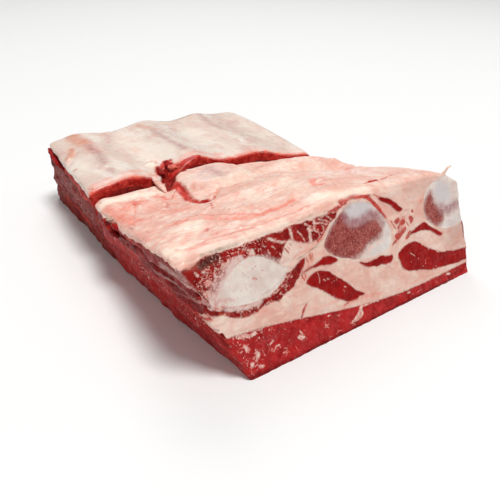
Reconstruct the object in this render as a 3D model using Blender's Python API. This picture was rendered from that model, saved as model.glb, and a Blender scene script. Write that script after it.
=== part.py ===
"""Chopped veal ribs: a slab of short ribs, sawn across the bones into two strips that still lie together.

The front strip shows its sawn face: three rib ends in fat, with a marbled muscle round the left rib,
two lean muscles below and a layer of lean underneath. The back strip lies behind it, with its rib
ridges under a smooth membrane. X runs across the ribs, Y along them to the back, Z up.

Sizes and places below are in millimetres, in the plan that the sections are drawn in, and become
metres when an object is made.
"""

import math

import bmesh
import bpy

MM = 0.001
PLAN_CENTRE_X = -9.15
PLAN_CENTRE_Y = 11.75
GAP = 0.4

FRONT_Y = -107.5
FRONT_LEAN = 0.40
CUT_Y = 22.5
CUT_LEAN = 0.10
CUT_WIDTH = 1.6
BACK_Y = 131.0
BACK_SKEW = 7.0

FRONT_HEIGHT = 55.0
CROWN_HEIGHT = 3.5
CUT_HEIGHT = 40.0
BACK_HEIGHT = 43.5
COVER_THICKNESS = 3.6
RIB_COVER = 1.4
CUT_SINK = 0.94
SHARPEST_MITRE = 0.4
EDGE_LIP = 2.6

FRONT_COLUMNS = 18
FRONT_ROWS = 12
BACK_COLUMNS = 18
BACK_ROWS = 10
SPAN_POINTS = 2
OVAL_POINTS = 18
FRONT_SHARES = (-0.04, 0.3, 0.65, 1.04)
BACK_SHARES = (-0.04, 0.06, 0.3, 0.6, 0.94, 1.04)

FAT = (0.80, 0.56, 0.46)
MEMBRANE = (0.80, 0.66, 0.57)
LEAN = (0.34, 0.03, 0.03)
DARK_LEAN = (0.22, 0.05, 0.045)
MARBLED = (0.40, 0.06, 0.05)
BONE = (0.62, 0.52, 0.49)

# Closed outlines on the sawn front face, as (x, z) along a smooth curve.
LEFT_RIB = [
    (-83, 34), (-79, 40), (-73, 45), (-65, 47.3), (-58, 46.8), (-53, 43.5), (-48, 40),
    (-44.5, 37.3), (-48, 33.5), (-54, 30.5), (-62, 29.3), (-70, 29.8), (-78, 31.5),
]
MIDDLE_RIB = [
    (-22, 40), (-18, 45.5), (-12, 50), (-6, 53), (1, 54.3), (8, 53), (14, 49.3), (18.5, 44),
    (21.5, 38), (22, 33), (19, 29), (12, 27.5), (4, 28), (-3, 29.3), (-9, 31.5), (-16, 34.2),
]
RIGHT_RIB = [
    (48.5, 39), (50.5, 46), (55, 50), (62, 51.2), (70, 51), (82, 48), (88, 40), (85, 31),
    (77, 26.7), (69, 25.9), (62, 27), (55, 30.5), (50, 34.5),
]
LEFT_MUSCLE = [
    (-36, 28.2), (-33.5, 30.3), (-29, 31), (-23, 29.5), (-18, 26), (-13, 21), (-8, 16.5),
    (-3, 13.2), (-8, 12.5), (-15, 13.6), (-21, 17), (-26, 21), (-31, 24.5),
]
RIGHT_MUSCLE = [
    (24, 21.5), (25.5, 25), (31, 27), (38, 26.5), (44, 23), (50, 19), (57, 16.3), (66, 14.5),
    (76, 13.2), (88, 12), (88, 8), (76, 7), (66, 7.6), (57, 8.7), (48, 9.8), (38, 12),
    (30, 14.6), (25.5, 17.5),
]
LEFT_STREAK = [
    (-39, 32.6), (-31, 34.2), (-22, 36.2), (-17.5, 34.6), (-15.5, 32.6), (-20, 32.2), (-29, 33.2),
]
MIDDLE_STREAK = [
    (-2, 27.4), (4, 26.6), (12, 26.4), (20, 25), (18, 22), (9, 22.8), (1, 25),
]
UPPER_STREAK = [
    (18, 53), (24, 51), (29, 47.6), (33, 43.6), (29.5, 43.6), (24.5, 47.8), (19, 51),
]
RIGHT_STREAK = [
    (34, 30.8), (41, 33), (48, 34), (52, 30.6), (60, 25), (56, 25), (48, 30), (41, 30.6),
]
RIB_WRAP = [
    (-106, 50), (-97, 50.2), (-88, 51.8), (-78, 52.6), (-60, 52.3), (-45, 53), (-28, 53.6),
    (-13, 53.8), (-12, 51.5), (-19, 47), (-28, 44), (-36, 46.8), (-42, 48), (-46, 44),
    (-52, 38), (-46, 35.5), (-40, 36.8), (-34, 38.6), (-34.5, 36), (-39.5, 32), (-44, 28.8),
    (-52, 26.6), (-66, 25.4), (-78, 27.5), (-88, 30.6), (-106, 31),
]
# The back strip's ribs: x, ridge height at the cut and at the back, then half the width and depth.
BACK_RIBS = {
    "left": ((-62, -52), (3.0, 3.0), (14.0, 6.6)),
    "middle": ((-15, -1), (6.0, 3.4), (14.5, 7.0)),
    "right": ((35, 42), (2.2, 2.6), (13.0, 6.2)),
}
# Fat lobes on the front strip's top, and the tear in the membrane at the cut, as (height, centre,
# half sizes, how soft the edge is).
FRONT_LOBES = [
    (5.0, (-18, 9), (30, 25), 0.4),
    (5.5, (44, 0), (38, 22), 0.6),
    (2.5, (-17, -31), (33, 18), 0.5),
]
BACK_TEAR = (-7.0, (-36, 26), (14, 25), 1.0)


def blend(low, high, share):
    return low + (high - low) * share


def ease(start, end, value):
    """0 before start, 1 after end, with a smooth run between them."""
    share = min(1.0, max(0.0, (value - start) / (end - start)))
    return share * share * (3 - 2 * share)


def bell(offset):
    return math.exp(-offset * offset)


def lobe(x, y, centre, radii, softness):
    """1 on an oval lobe, 0 outside it; softness is the share of the radius that its shoulder takes."""
    reach = math.hypot((x - centre[0]) / radii[0], (y - centre[1]) / radii[1])
    return 1 - ease(1 - softness, 1, reach)


def left_side(y, z):
    """The left side leans out: most at the front, hardly at all at the back."""
    foot = -75.5 - 1.5 * ease(-100, -40, y) + 6.5 * ease(10, 130, y)
    return foot - blend(0.43, 0.05, (y - FRONT_Y) / (BACK_Y - FRONT_Y)) * z


def right_side(y, z):
    waist = 3.0 * ease(20, 45, z) * ease(-70, -20, y) * (1 - ease(0, 40, y))
    return 77.4 + 0.8 * bell((z - 16) / 14) - waist - 3.0 * ease(112, 131, y)


def front_face(x, z):
    return FRONT_Y + FRONT_LEAN * z


def cut_front(x, z):
    return CUT_Y - CUT_WIDTH / 2 + CUT_LEAN * z


def cut_back(x, z):
    return CUT_Y + CUT_WIDTH / 2 + (CUT_LEAN + 0.03) * z


def back_face(x, z):
    return BACK_Y - BACK_SKEW * ease(10, 80, x) - 1.5 * bell((x - 22) / 9)


def shoulder(distance, radius, drop):
    """How far the top falls towards an edge that is this far away."""
    share = min(1.0, max(0.0, 1 - distance / radius))
    return drop * share * share


def front_sag(x, y):
    """The front strip's plain height: full at the sawn face and lower towards the cut."""
    face = FRONT_HEIGHT + CROWN_HEIGHT * bell((x - 2) / 26) - 2.5 * ease(50, 78, x)
    cut = CUT_HEIGHT - 6.5 * ease(10, 75, x)
    early = 14 * (1 - ease(-90, -30, x)) + 8 * ease(15, 55, x)
    return blend(face, cut, ease(-78, 20, y + early))


def front_top(x, y):
    """The front strip's top: the sag, its fat lobes, and the edges that roll off."""
    height = front_sag(x, y)
    for rise, centre, radii, softness in FRONT_LOBES:
        height += rise * lobe(x, y, centre, radii, softness)
    height -= shoulder(x - left_side(y, height), 7, 3.2)
    height -= shoulder(right_side(y, height) - x, 12, 5.0)
    height -= shoulder(y - front_face(x, height), 5, 1.2)
    to_right = ease(20, 45, x)
    return height - shoulder(cut_front(x, height) - y, blend(6, 12, to_right), blend(3.0, 4.5, to_right))


def along_back(ends, y):
    """A value that runs evenly from the cut to the back of the back strip."""
    return blend(ends[0], ends[1], (y - CUT_Y) / (BACK_Y - CUT_Y))


def back_sag(x, y):
    """The back strip's plain height: it falls to the right, most of all near the cut."""
    right_fall = blend(10.0, 0.0, min(1.0, max(0.0, (y - 25) / 80)))
    return BACK_HEIGHT - 1.0 * ease(30, 120, y) - right_fall * ease(10, 80, x)


def back_top(x, y):
    """The back strip's top: a smooth membrane over three rib ridges, with a tear at the cut."""
    height = back_sag(x, y)
    for line, ridge, _ in BACK_RIBS.values():
        height += along_back(ridge, y) * bell((x - along_back(line, y)) / 12)
    rise, centre, radii, softness = BACK_TEAR
    height += rise * lobe(x, y, centre, radii, softness)
    height -= shoulder(x - left_side(y, height), 5, 2.0)
    height -= shoulder(right_side(y, height) - x, 6, 2.4)
    height -= shoulder(y - cut_back(x, height), blend(6, 15, bell((x + 14) / 22)), 1.4)
    height -= shoulder(back_face(x, height) - y, 5, 1.6)
    return height


def front_lean_top(x, y):
    """Top of the lean under the front strip: thick on the left, thin on the right."""
    face = 5.4 + 14.8 * (1 - ease(-92, 42, x)) ** 1.2
    rise = 6.5 * ease(-104, -58, y) * (1 - ease(-88, -52, x))
    return face + rise + 2.5 * ease(-90, 10, y) * ease(-40, 40, x)


def back_lean_top(x, y):
    return 0.34 * back_sag(x, y) + 1.0 * math.sin(x / 17 + y / 31)


def back_seam_top(x, y):
    return 0.45 * back_sag(x, y) + 0.8 * math.sin(x / 23 - y / 29)


def back_flesh_top(x, y):
    return back_top(x, y) - COVER_THICKNESS


def collection_of(name):
    made = bpy.data.collections.new(name)
    bpy.context.scene.collection.children.link(made)
    return made


def clear_scene():
    for obj in list(bpy.data.objects):
        bpy.data.objects.remove(obj, do_unlink=True)
    for collection in list(bpy.data.collections):
        bpy.data.collections.remove(collection)


def material_of(name, colour, roughness):
    material = bpy.data.materials.new(name)
    material.use_nodes = True
    shader = material.node_tree.nodes["Principled BSDF"]
    shader.inputs["Base Color"].default_value = (*colour, 1.0)
    shader.inputs["Roughness"].default_value = roughness
    shader.inputs["Metallic"].default_value = 0.0
    return material


def object_from(bm, name, collection, material=None):
    """A named object from a bmesh drawn in plan millimetres."""
    for vert in bm.verts:
        vert.co.x = (vert.co.x - PLAN_CENTRE_X) * MM
        vert.co.y = (vert.co.y - PLAN_CENTRE_Y) * MM
        vert.co.z *= MM
    bmesh.ops.triangulate(bm, faces=bm.faces[:], quad_method="SHORT_EDGE")
    bmesh.ops.recalc_face_normals(bm, faces=bm.faces[:])
    mesh = bpy.data.meshes.new(name)
    bm.to_mesh(mesh)
    bm.free()
    mesh.shade_smooth()
    mesh.set_sharp_from_angle(angle=math.radians(50))
    if material:
        mesh.materials.append(material)
    obj = bpy.data.objects.new(name, mesh)
    collection.objects.link(obj)
    return obj


def steps_with_lips(low, high, count):
    """count + 1 places from low to high: even ones, with a narrow lip at each end to round the edge."""
    inner = [blend(low + EDGE_LIP, high - EDGE_LIP, i / (count - 2)) for i in range(count - 1)]
    return [low, *inner, high]


def form(name, counts, ends, floor, roof, collection, material=None):
    """A block between two end faces, the slab's sides, a floor and a roof, from a subdivided cube."""
    columns, rows, levels = counts
    bm = bmesh.new()
    bmesh.ops.create_cube(bm, size=1.0)
    for axis, count in enumerate(counts):
        along = [e for e in bm.edges if abs(e.verts[0].co[axis] - e.verts[1].co[axis]) > 1e-6]
        bmesh.ops.subdivide_edges(bm, edges=along, cuts=count - 1, use_grid_fill=True)
    lip_x = steps_with_lips(left_side(0, 25), right_side(0, 25), columns)
    across = [(x - lip_x[0]) / (lip_x[-1] - lip_x[0]) for x in lip_x]
    lip_y = steps_with_lips(ends[0](0, 25), ends[1](0, 25), rows)
    along = [(y - lip_y[0]) / (lip_y[-1] - lip_y[0]) for y in lip_y]
    for vert in bm.verts:
        share_x = across[round((vert.co.x + 0.5) * columns)]
        share_y = along[round((vert.co.y + 0.5) * rows)]
        share_z = vert.co.z + 0.5
        z = 25.0
        for _ in range(4):
            x_guess = blend(-80.0, 76.0, share_x)
            y = blend(ends[0](x_guess, z), ends[1](x_guess, z), share_y)
            x = blend(left_side(y, z), right_side(y, z), share_x)
            y = blend(ends[0](x, z), ends[1](x, z), share_y)
            z = blend(floor(x, y), roof(x, y), share_z)
        vert.co = (x, y, z)
    return object_from(bm, name, collection, material)


def flat_floor(x, y):
    return 0.0


def raised(surface, amount):
    """The same surface, this much higher."""
    return lambda x, y: surface(x, y) + amount


def smooth_outline(points):
    """Points along the closed curve that runs smoothly through the outline's own points."""
    count = len(points)
    found = []
    for i in range(count):
        before, start, end, after = (points[(i + k) % count] for k in (-1, 0, 1, 2))
        for step in range(SPAN_POINTS):
            t = step / SPAN_POINTS
            found.append(tuple(
                0.5 * (2 * b + (c - a) * t + (2 * a - 5 * b + 4 * c - d) * t * t
                       + (3 * b - a - 3 * c + d) * t ** 3)
                for a, b, c, d in zip(before, start, end, after)
            ))
    return found


def grown(section, amount):
    """The section's outline pushed out by amount, with its corners mitred."""
    count = len(section)
    turn = sum(a[0] * b[1] - b[0] * a[1] for a, b in zip(section, section[1:] + section[:1]))
    side = math.copysign(amount, turn)
    found = []
    for i, (x, z) in enumerate(section):
        (x0, z0), (x1, z1) = section[i - 1], section[(i + 1) % count]
        before, after = math.hypot(x - x0, z - z0), math.hypot(x1 - x, z1 - z)
        push_x = (z - z0) / before + (z1 - z) / after
        push_z = (x0 - x) / before + (x - x1) / after
        reach = max(SHARPEST_MITRE, (push_x ** 2 + push_z ** 2) / 2)
        found.append((x + side * push_x / reach, z + side * push_z / reach))
    return found


def loft(name, section_at, shares, ends, collection, material=None):
    """A solid through the sections from one end face to the other, a little longer than both."""
    bm = bmesh.new()
    rings = []
    for share in shares:
        ring = []
        for x, z in section_at(share):
            ring.append(bm.verts.new((x, blend(ends[0](x, z), ends[1](x, z), share), z)))
        rings.append(ring)
    for ring, following in zip(rings, rings[1:]):
        for i in range(len(ring)):
            bm.faces.new((ring[i - 1], ring[i], following[i], following[i - 1]))
    bm.faces.new(rings[0])
    bm.faces.new(rings[-1])
    bmesh.ops.triangulate(bm, faces=bm.faces[:], quad_method="FIXED")
    return object_from(bm, name, collection, material)


def front_section(curve, drift, shrink, margin):
    """Sections of a piece of the front strip: it sinks with the slab, drifts sideways and may shrink."""
    middle_x = sum(p[0] for p in curve) / len(curve)
    middle_z = sum(p[1] for p in curve) / len(curve)

    def section_at(share):
        run = ease(0.0, 1.0, max(0.0, share))
        size_x = blend(1.0, shrink[0], run)
        size_z = blend(1.0, shrink[1], run)
        section = []
        for x0, z0 in curve:
            x = middle_x + (x0 - middle_x) * size_x
            z = middle_z + (z0 - middle_z) * size_z
            y = blend(FRONT_Y + FRONT_LEAN * z, CUT_Y, share)
            sink = blend(1.0, CUT_SINK, run) * front_sag(x, y) / front_sag(x, FRONT_Y)
            section.append((x + drift * run, z * sink))
        return grown(section, margin) if margin else section

    return section_at


def rib_section(line, half_width, half_depth, margin):
    """Oval sections of a back-strip rib, close under the membrane and tilted as the slab is."""

    def section_at(share):
        y = blend(CUT_Y, BACK_Y, min(0.98, max(0.02, share)))
        x_mid = along_back(line, y)
        z_mid = back_top(x_mid, y) - COVER_THICKNESS - RIB_COVER - half_depth
        tilt = (back_sag(x_mid + 10, y) - back_sag(x_mid - 10, y)) / 20
        section = []
        for i in range(OVAL_POINTS):
            turn = 2 * math.pi * i / OVAL_POINTS
            along = (half_width + margin) * (1 + 0.06 * math.cos(3 * turn)) * math.cos(turn)
            section.append((x_mid + along, z_mid + tilt * along + (half_depth + margin) * math.sin(turn)))
        return section

    return section_at


def combine(obj, operation, other):
    """Adds a Boolean with another object or with all of a collection.

    The cutters run past the faces that they share with a piece. The exact solver leaves open edges
    there, so the manifold one is used.
    """
    modifier = obj.modifiers.new(f"{operation.lower()} {other.name}", "BOOLEAN")
    modifier.operation = operation
    modifier.solver = "MANIFOLD"
    if isinstance(other, bpy.types.Collection):
        modifier.operand_type = "COLLECTION"
        modifier.collection = other
    else:
        modifier.object = other


def hide_helpers(collection):
    for helper in collection.objects:
        helper.hide_render = True
        helper.display_type = "WIRE"


def build_front_strip(parts, materials):
    """The front strip: lean below, then fat that holds the ribs, the muscles and the marbled wrap."""
    ends = (front_face, cut_front)
    forms = collection_of("front strip forms")
    counts = (FRONT_COLUMNS, FRONT_ROWS, 3)
    upper = raised(front_lean_top, GAP)
    whole = form("front form", counts, ends, upper, front_top, forms)

    # Each piece: its outline, its drift to the cut, its size there, and its material.
    ribs = {
        "front_rib_left": (smooth_outline(LEFT_RIB), 1, (0.78, 0.95), "bone"),
        "front_rib_middle": (smooth_outline(MIDDLE_RIB), -9, (0.66, 0.72), "bone"),
        "front_rib_right": (smooth_outline(RIGHT_RIB), -31, (0.74, 0.70), "bone"),
    }
    muscles = {
        "front_muscle_left": (smooth_outline(LEFT_MUSCLE), -4, (1.0, 0.9), "lean"),
        "front_muscle_right": (smooth_outline(RIGHT_MUSCLE), 2, (1.0, 0.85), "lean"),
        "front_streak_left": (LEFT_STREAK, -4, (1.0, 0.8), "lean"),
        "front_streak_middle": (MIDDLE_STREAK, -6, (0.8, 0.8), "lean"),
        "front_streak_upper": (UPPER_STREAK, -18, (1.0, 0.8), "lean"),
        "front_streak_right": (RIGHT_STREAK, 0, (0.8, 0.8), "lean"),
    }
    wrap = {"front_rib_wrap": (RIB_WRAP, 0, (1.0, 1.0), "marbled")}

    cutters = {}
    earlier = []
    for group, pieces in (("ribs", ribs), ("muscles", muscles), ("wrap", wrap)):
        cutters[group] = collection_of(f"front strip {group} cutters")
        for name, (outline, drift, shrink, finish) in pieces.items():
            shape = front_section(outline, drift, shrink, 0.0)
            piece = loft(name, shape, FRONT_SHARES, ends, parts, materials[finish])
            combine(piece, "INTERSECT", whole)
            for before in earlier:
                combine(piece, "DIFFERENCE", cutters[before])
            grown_shape = front_section(outline, drift, shrink, GAP)
            loft(f"{name} cutter", grown_shape, FRONT_SHARES, ends, cutters[group])
        hide_helpers(cutters[group])
        earlier.append(group)

    fat = form("front_fat", counts, ends, upper, front_top, parts, materials["fat"])
    for group in earlier:
        combine(fat, "DIFFERENCE", cutters[group])
    form(
        "front_lean", (FRONT_COLUMNS, FRONT_ROWS, 1), ends, flat_floor, front_lean_top, parts,
        materials["lean"],
    )
    hide_helpers(forms)


def build_back_strip(parts, materials):
    """The back strip: lean, a seam of fat, the ribs in their flesh, and the membrane on top."""
    ends = (cut_back, back_face)
    cutters = collection_of("back strip cutters")
    forms = collection_of("back strip forms")
    layers = {
        "back_lean": (flat_floor, back_lean_top, 1, "dark lean"),
        "back_seam_fat": (raised(back_lean_top, GAP), back_seam_top, 1, "fat"),
        "back_flesh": (raised(back_seam_top, GAP), back_flesh_top, 2, "dark lean"),
        "back_cover": (raised(back_flesh_top, GAP), back_top, 1, "membrane"),
    }
    made = {}
    for name, (floor, roof, levels, finish) in layers.items():
        counts = (BACK_COLUMNS, BACK_ROWS, levels)
        made[name] = form(name, counts, ends, floor, roof, parts, materials[finish])
    floor, roof, levels, _ = layers["back_flesh"]
    whole = form("back form", (BACK_COLUMNS, BACK_ROWS, levels), ends, floor, roof, forms)
    for side, (line, _, (half_width, half_depth)) in BACK_RIBS.items():
        name = f"back_rib_{side}"
        shape = rib_section(line, half_width, half_depth, 0.0)
        rib = loft(name, shape, BACK_SHARES, ends, parts, materials["bone"])
        combine(rib, "INTERSECT", whole)
        grown_shape = rib_section(line, half_width, half_depth, GAP)
        loft(f"{name} cutter", grown_shape, BACK_SHARES, ends, cutters)
    hide_helpers(cutters)
    hide_helpers(forms)
    combine(made["back_flesh"], "DIFFERENCE", cutters)


def main():
    clear_scene()
    parts = collection_of("chopped veal ribs")
    materials = {
        "fat": material_of("fat", FAT, 0.38),
        "membrane": material_of("membrane", MEMBRANE, 0.30),
        "lean": material_of("lean", LEAN, 0.32),
        "dark lean": material_of("dark lean", DARK_LEAN, 0.36),
        "marbled": material_of("marbled meat", MARBLED, 0.34),
        "bone": material_of("sawn bone", BONE, 0.45),
    }
    build_front_strip(parts, materials)
    build_back_strip(parts, materials)


main()
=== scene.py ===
"""Chopped veal ribs: a slab of short ribs, sawn across the bones into two strips that lie together.

The dense meshes below stand in for the plain solids of the frame. Sizes are in millimetres, in the
plan that the sections are drawn in: x across the ribs, y along them to the back, z up.
"""
import itertools
import math

import bmesh
import bpy
import numpy as np
from mathutils import Matrix, Vector


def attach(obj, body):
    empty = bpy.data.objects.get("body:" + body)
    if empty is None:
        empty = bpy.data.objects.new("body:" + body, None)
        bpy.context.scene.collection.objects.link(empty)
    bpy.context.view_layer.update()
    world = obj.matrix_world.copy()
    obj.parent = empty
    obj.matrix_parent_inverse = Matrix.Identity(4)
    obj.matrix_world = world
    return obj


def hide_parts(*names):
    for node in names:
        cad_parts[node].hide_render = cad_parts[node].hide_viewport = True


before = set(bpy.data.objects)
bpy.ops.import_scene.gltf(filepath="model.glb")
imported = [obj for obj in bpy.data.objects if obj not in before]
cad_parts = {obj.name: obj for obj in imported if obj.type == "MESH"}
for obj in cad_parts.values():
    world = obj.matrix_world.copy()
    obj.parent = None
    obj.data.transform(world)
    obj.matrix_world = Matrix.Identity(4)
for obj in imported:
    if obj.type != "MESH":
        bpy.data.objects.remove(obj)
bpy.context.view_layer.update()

MM = 0.001
PLAN_CENTRE = np.array([-9.15, 11.75, 0.0])

# The slab, as in the part's own solids.
FRONT_Y = -107.5
FRONT_LEAN = 0.40
CUT_Y = 22.5
CUT_LEAN = 0.10
CUT_WIDTH = 1.6
BACK_Y = 131.0
BACK_SKEW = 7.0
FRONT_HEIGHT = 55.0
CROWN_HEIGHT = 3.5
CUT_HEIGHT = 40.0
BACK_HEIGHT = 43.5
COVER_THICKNESS = 3.6
RIB_COVER = 1.4
CUT_SINK = 0.94

MIDDLE_HEIGHT = 25.0
ROUGH_SIDES = (-80.0, 76.0)
# The strips' rounded sizes, which only set how many steps their skins take, and those steps.
SLAB_WIDTH, FRONT_LENGTH = 155, 130
BACK_WIDTH, BACK_LENGTH = 148, 108
FRONT_GRID = 1.2
BACK_GRID = 1.7
FACE_DETAIL = 0.75
LINE_DETAIL = 0.42
OUTLINE_STEP = 0.8
MARK_STEP = 1.0
# How near to a face a point counts as on it, and the distances that stand for far from any mark.
SKIN = 0.25
FAR_MARK = 6.0
FAR_EDGE = 9.0

# Closed outlines of the pieces on the sawn front face, as (x, z): their drift sideways to the cut,
# their size there, and how ragged their edge is.
FRONT_RIBS = {
    "front_rib_left": ([
        (-83, 34), (-79, 40), (-73, 45), (-65, 47.3), (-58, 46.8), (-53, 43.5), (-48, 40),
        (-44.5, 37.3), (-48, 33.5), (-54, 30.5), (-62, 29.3), (-70, 29.8), (-78, 31.5),
    ], 1, (0.78, 0.95), 0.35),
    "front_rib_middle": ([
        (-22, 40), (-18, 45.5), (-12, 50), (-6, 53), (1, 54.3), (8, 53), (14, 49.3), (18.5, 44),
        (21.5, 38), (22, 33), (19, 29), (12, 27.5), (4, 28), (-3, 29.3), (-9, 31.5), (-16, 34.2),
    ], -9, (0.66, 0.72), 0.2),
    "front_rib_right": ([
        (48.5, 39), (50.5, 46), (55, 50), (62, 51.2), (70, 51), (82, 48), (88, 40), (85, 31),
        (77, 26.7), (69, 25.9), (62, 27), (55, 30.5), (50, 34.5),
    ], -31, (0.74, 0.70), 0.2),
}
FRONT_MUSCLES = {
    "front_muscle_left": ([
        (-36, 28.2), (-33.5, 30.3), (-29, 31), (-23, 29.5), (-18, 26), (-13, 21), (-8, 16.5),
        (-3, 13.2), (-8, 12.5), (-15, 13.6), (-21, 17), (-26, 21), (-31, 24.5),
    ], -4, (1.0, 0.9), 0.4),
    "front_muscle_right": ([
        (24, 21.5), (25.5, 25), (31, 27), (38, 26.5), (44, 23), (50, 19), (57, 16.3), (66, 14.5),
        (76, 13.2), (88, 12), (88, 8), (76, 7), (66, 7.6), (57, 8.7), (48, 9.8), (38, 12),
        (30, 14.6), (25.5, 17.5),
    ], 2, (1.0, 0.85), 0.4),
    "front_streak_left": ([
        (-39, 32.6), (-31, 34.2), (-22, 36.2), (-17.5, 34.6), (-15.5, 32.6), (-20, 32.2), (-29, 33.2),
    ], -4, (1.0, 0.8), 0.4),
    "front_streak_middle": ([
        (-2, 27.4), (4, 26.6), (12, 26.4), (20, 25), (18, 22), (9, 22.8), (1, 25),
    ], -6, (0.8, 0.8), 0.6),
    "front_streak_upper": ([
        (18, 53), (24, 51), (29, 47.6), (33, 43.6), (29.5, 43.6), (24.5, 47.8), (19, 51),
    ], -18, (1.0, 0.8), 0.3),
    "front_streak_right": ([
        (34, 30.8), (41, 33), (48, 34), (52, 30.6), (60, 25), (56, 25), (48, 30), (41, 30.6),
    ], 0, (0.8, 0.8), 0.4),
}
RIB_WRAP = {
    "front_rib_wrap": ([
        (-106, 50), (-97, 50.2), (-88, 51.8), (-78, 52.6), (-60, 52.3), (-45, 53), (-28, 53.6),
        (-13, 53.8), (-12, 51.5), (-19, 47), (-28, 44), (-36, 46.8), (-42, 48), (-46, 44),
        (-52, 38), (-46, 35.5), (-40, 36.8), (-34, 38.6), (-34.5, 36), (-39.5, 32), (-44, 28.8),
        (-52, 26.6), (-66, 25.4), (-78, 27.5), (-88, 30.6), (-106, 31),
    ], 0, (1.0, 1.0), 0.8),
}
# The back strip's ribs: x, ridge height at the cut and at the back, then half the width and depth.
BACK_RIBS = {
    "left": ((-62, -52), (3.0, 3.0), (14.0, 6.6)),
    "middle": ((-15, -1), (6.0, 3.4), (14.5, 7.0)),
    "right": ((35, 42), (2.2, 2.6), (13.0, 6.2)),
}
# Fat lobes on the front strip's top, and the tear in the membrane at the cut, as (height, centre,
# half sizes, how soft the edge is).
FRONT_LOBES = [
    (5.0, (-18, 9), (30, 25), 0.4),
    (5.5, (44, 0), (38, 22), 0.6),
    (2.5, (-17, -31), (33, 18), 0.5),
]
BACK_TEAR = (-7.0, (-36, 26), (14, 25), 1.0)

# What shows on the sawn face, as (half width, points) for a line and (None, points) for a patch.
RED_IN_FAT = [
    # round the middle rib
    (0.85, [(-7.3, 56.3), (-2.6, 56.7), (2.2, 56.8)]), (1.1, [(2.2, 56.8), (6.1, 56.3), (9.9, 55)]),
    (1.1, [(9.9, 55), (12, 53), (15.3, 49.6), (17.3, 46.8)]), (0.7, [(17.3, 46.8), (20, 43.2)]),
    (0.25, [(0.6, 56.1), (3.1, 55.7), (5.6, 55.1)]), (0.5, [(-15.8, 53.8), (-10.5, 54.4), (-3.8, 55.2)]),
    (0.3, [(-12, 53.4), (-7.2, 54.2)]), (0.35, [(0.6, 58.7), (4.5, 58.3)]), (0.3, [(15.2, 54.6), (18.3, 53)]),
    (0.3, [(6.4, 58.2), (10, 56.8), (12.6, 54.8)]),
    (None, [(-14.4, 53.6), (-19.4, 48), (-25.4, 44.4), (-24.8, 43), (-19.6, 46.3), (-13.8, 51), (-8, 54.2),
            (-9, 55.4)]),
    # between the middle and the right rib
    (None, [(25.4, 39.4), (27.3, 40.6), (29.5, 40.6), (30, 39.5), (28.5, 38.2), (26.5, 37.9)]),
    (None, [(30.6, 39.1), (32.9, 39), (33.7, 37.8), (32.2, 36.7), (29.6, 36.7), (27.3, 35.5), (26.8, 36.4),
            (29.1, 37.8)]),
    (None, [(36.4, 39.1), (38.4, 39.4), (39.6, 37.9), (38.8, 36.3), (36.6, 35.7), (36.6, 36.9)]),
    (None, [(33.1, 35.6), (33.5, 34.2), (31.1, 32.6), (27.5, 30.9), (24.3, 30), (21.3, 28.9), (22.4, 30.3),
            (24.3, 31.5),
            (23.9, 32.8), (25.7, 33.8), (28.4, 33.8), (30.6, 35)]),
    (None, [(35.4, 32.8), (36.7, 31.9), (35.5, 30.5), (32.4, 29.1), (31.1, 29.9), (32.6, 31)]),
    (None, [(39.1, 41.9), (40.7, 41.8), (40.7, 40.6), (39.1, 40.4)]),
    (0.3, [(23.4, 40.4), (24.4, 38.2), (25.6, 36.2)]), (0.3, [(34.4, 37.2), (35.2, 35.2)]),
    # between the left and the middle rib
    (None, [(-43.8, 14.6), (-42.8, 16.8), (-41, 18.8), (-38.4, 20.3), (-39.8, 18.2), (-41.6, 16.2)]),
    (0.3, [(-17, 12.4), (-12, 13)]),
    (0.4, [(-37.8, 32.9), (-37.6, 31.2), (-36.8, 30.1)]), (0.35, [(-36.4, 33), (-35.8, 31.8), (-35.9, 30.8)]),
    (0.55, [(-31.1, 39.6), (-30.6, 37.2)]), (0.3, [(-29.6, 39.6), (-29.9, 38)]),
    (0.25, [(-33.4, 38.6), (-32.8, 36.6)]),
    (0.35, [(-43.8, 45.4), (-42.6, 43.4)]), (0.22, [(-42.2, 45.8), (-41.8, 44.8)]),
    (0.22, [(-45.6, 48), (-44.8, 47)]), (0.2, [(-41, 47), (-40.4, 46)]),
    # specks in the left rib
    (0.3, [(-63.2, 38.5), (-62.4, 38.7)]), (0.25, [(-58.2, 40.6), (-57.6, 40.3)]),
    (0.2, [(-62.3, 42.2), (-62.1, 42.1)]),
    (0.2, [(-67.6, 42.1), (-67.4, 42)]), (0.2, [(-66.8, 41.1), (-66.6, 41)]), (0.22, [(-61, 43.1), (-60.8, 43)]),
    (0.2, [(-73.8, 36.7), (-73.6, 36.7)]), (0.2, [(-67.5, 35.5), (-67.3, 35.5)]),
    (0.2, [(-65.3, 35.7), (-65.1, 35.7)]), (0.2, [(-70.5, 35.7), (-70.3, 35.7)]),
]
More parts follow.
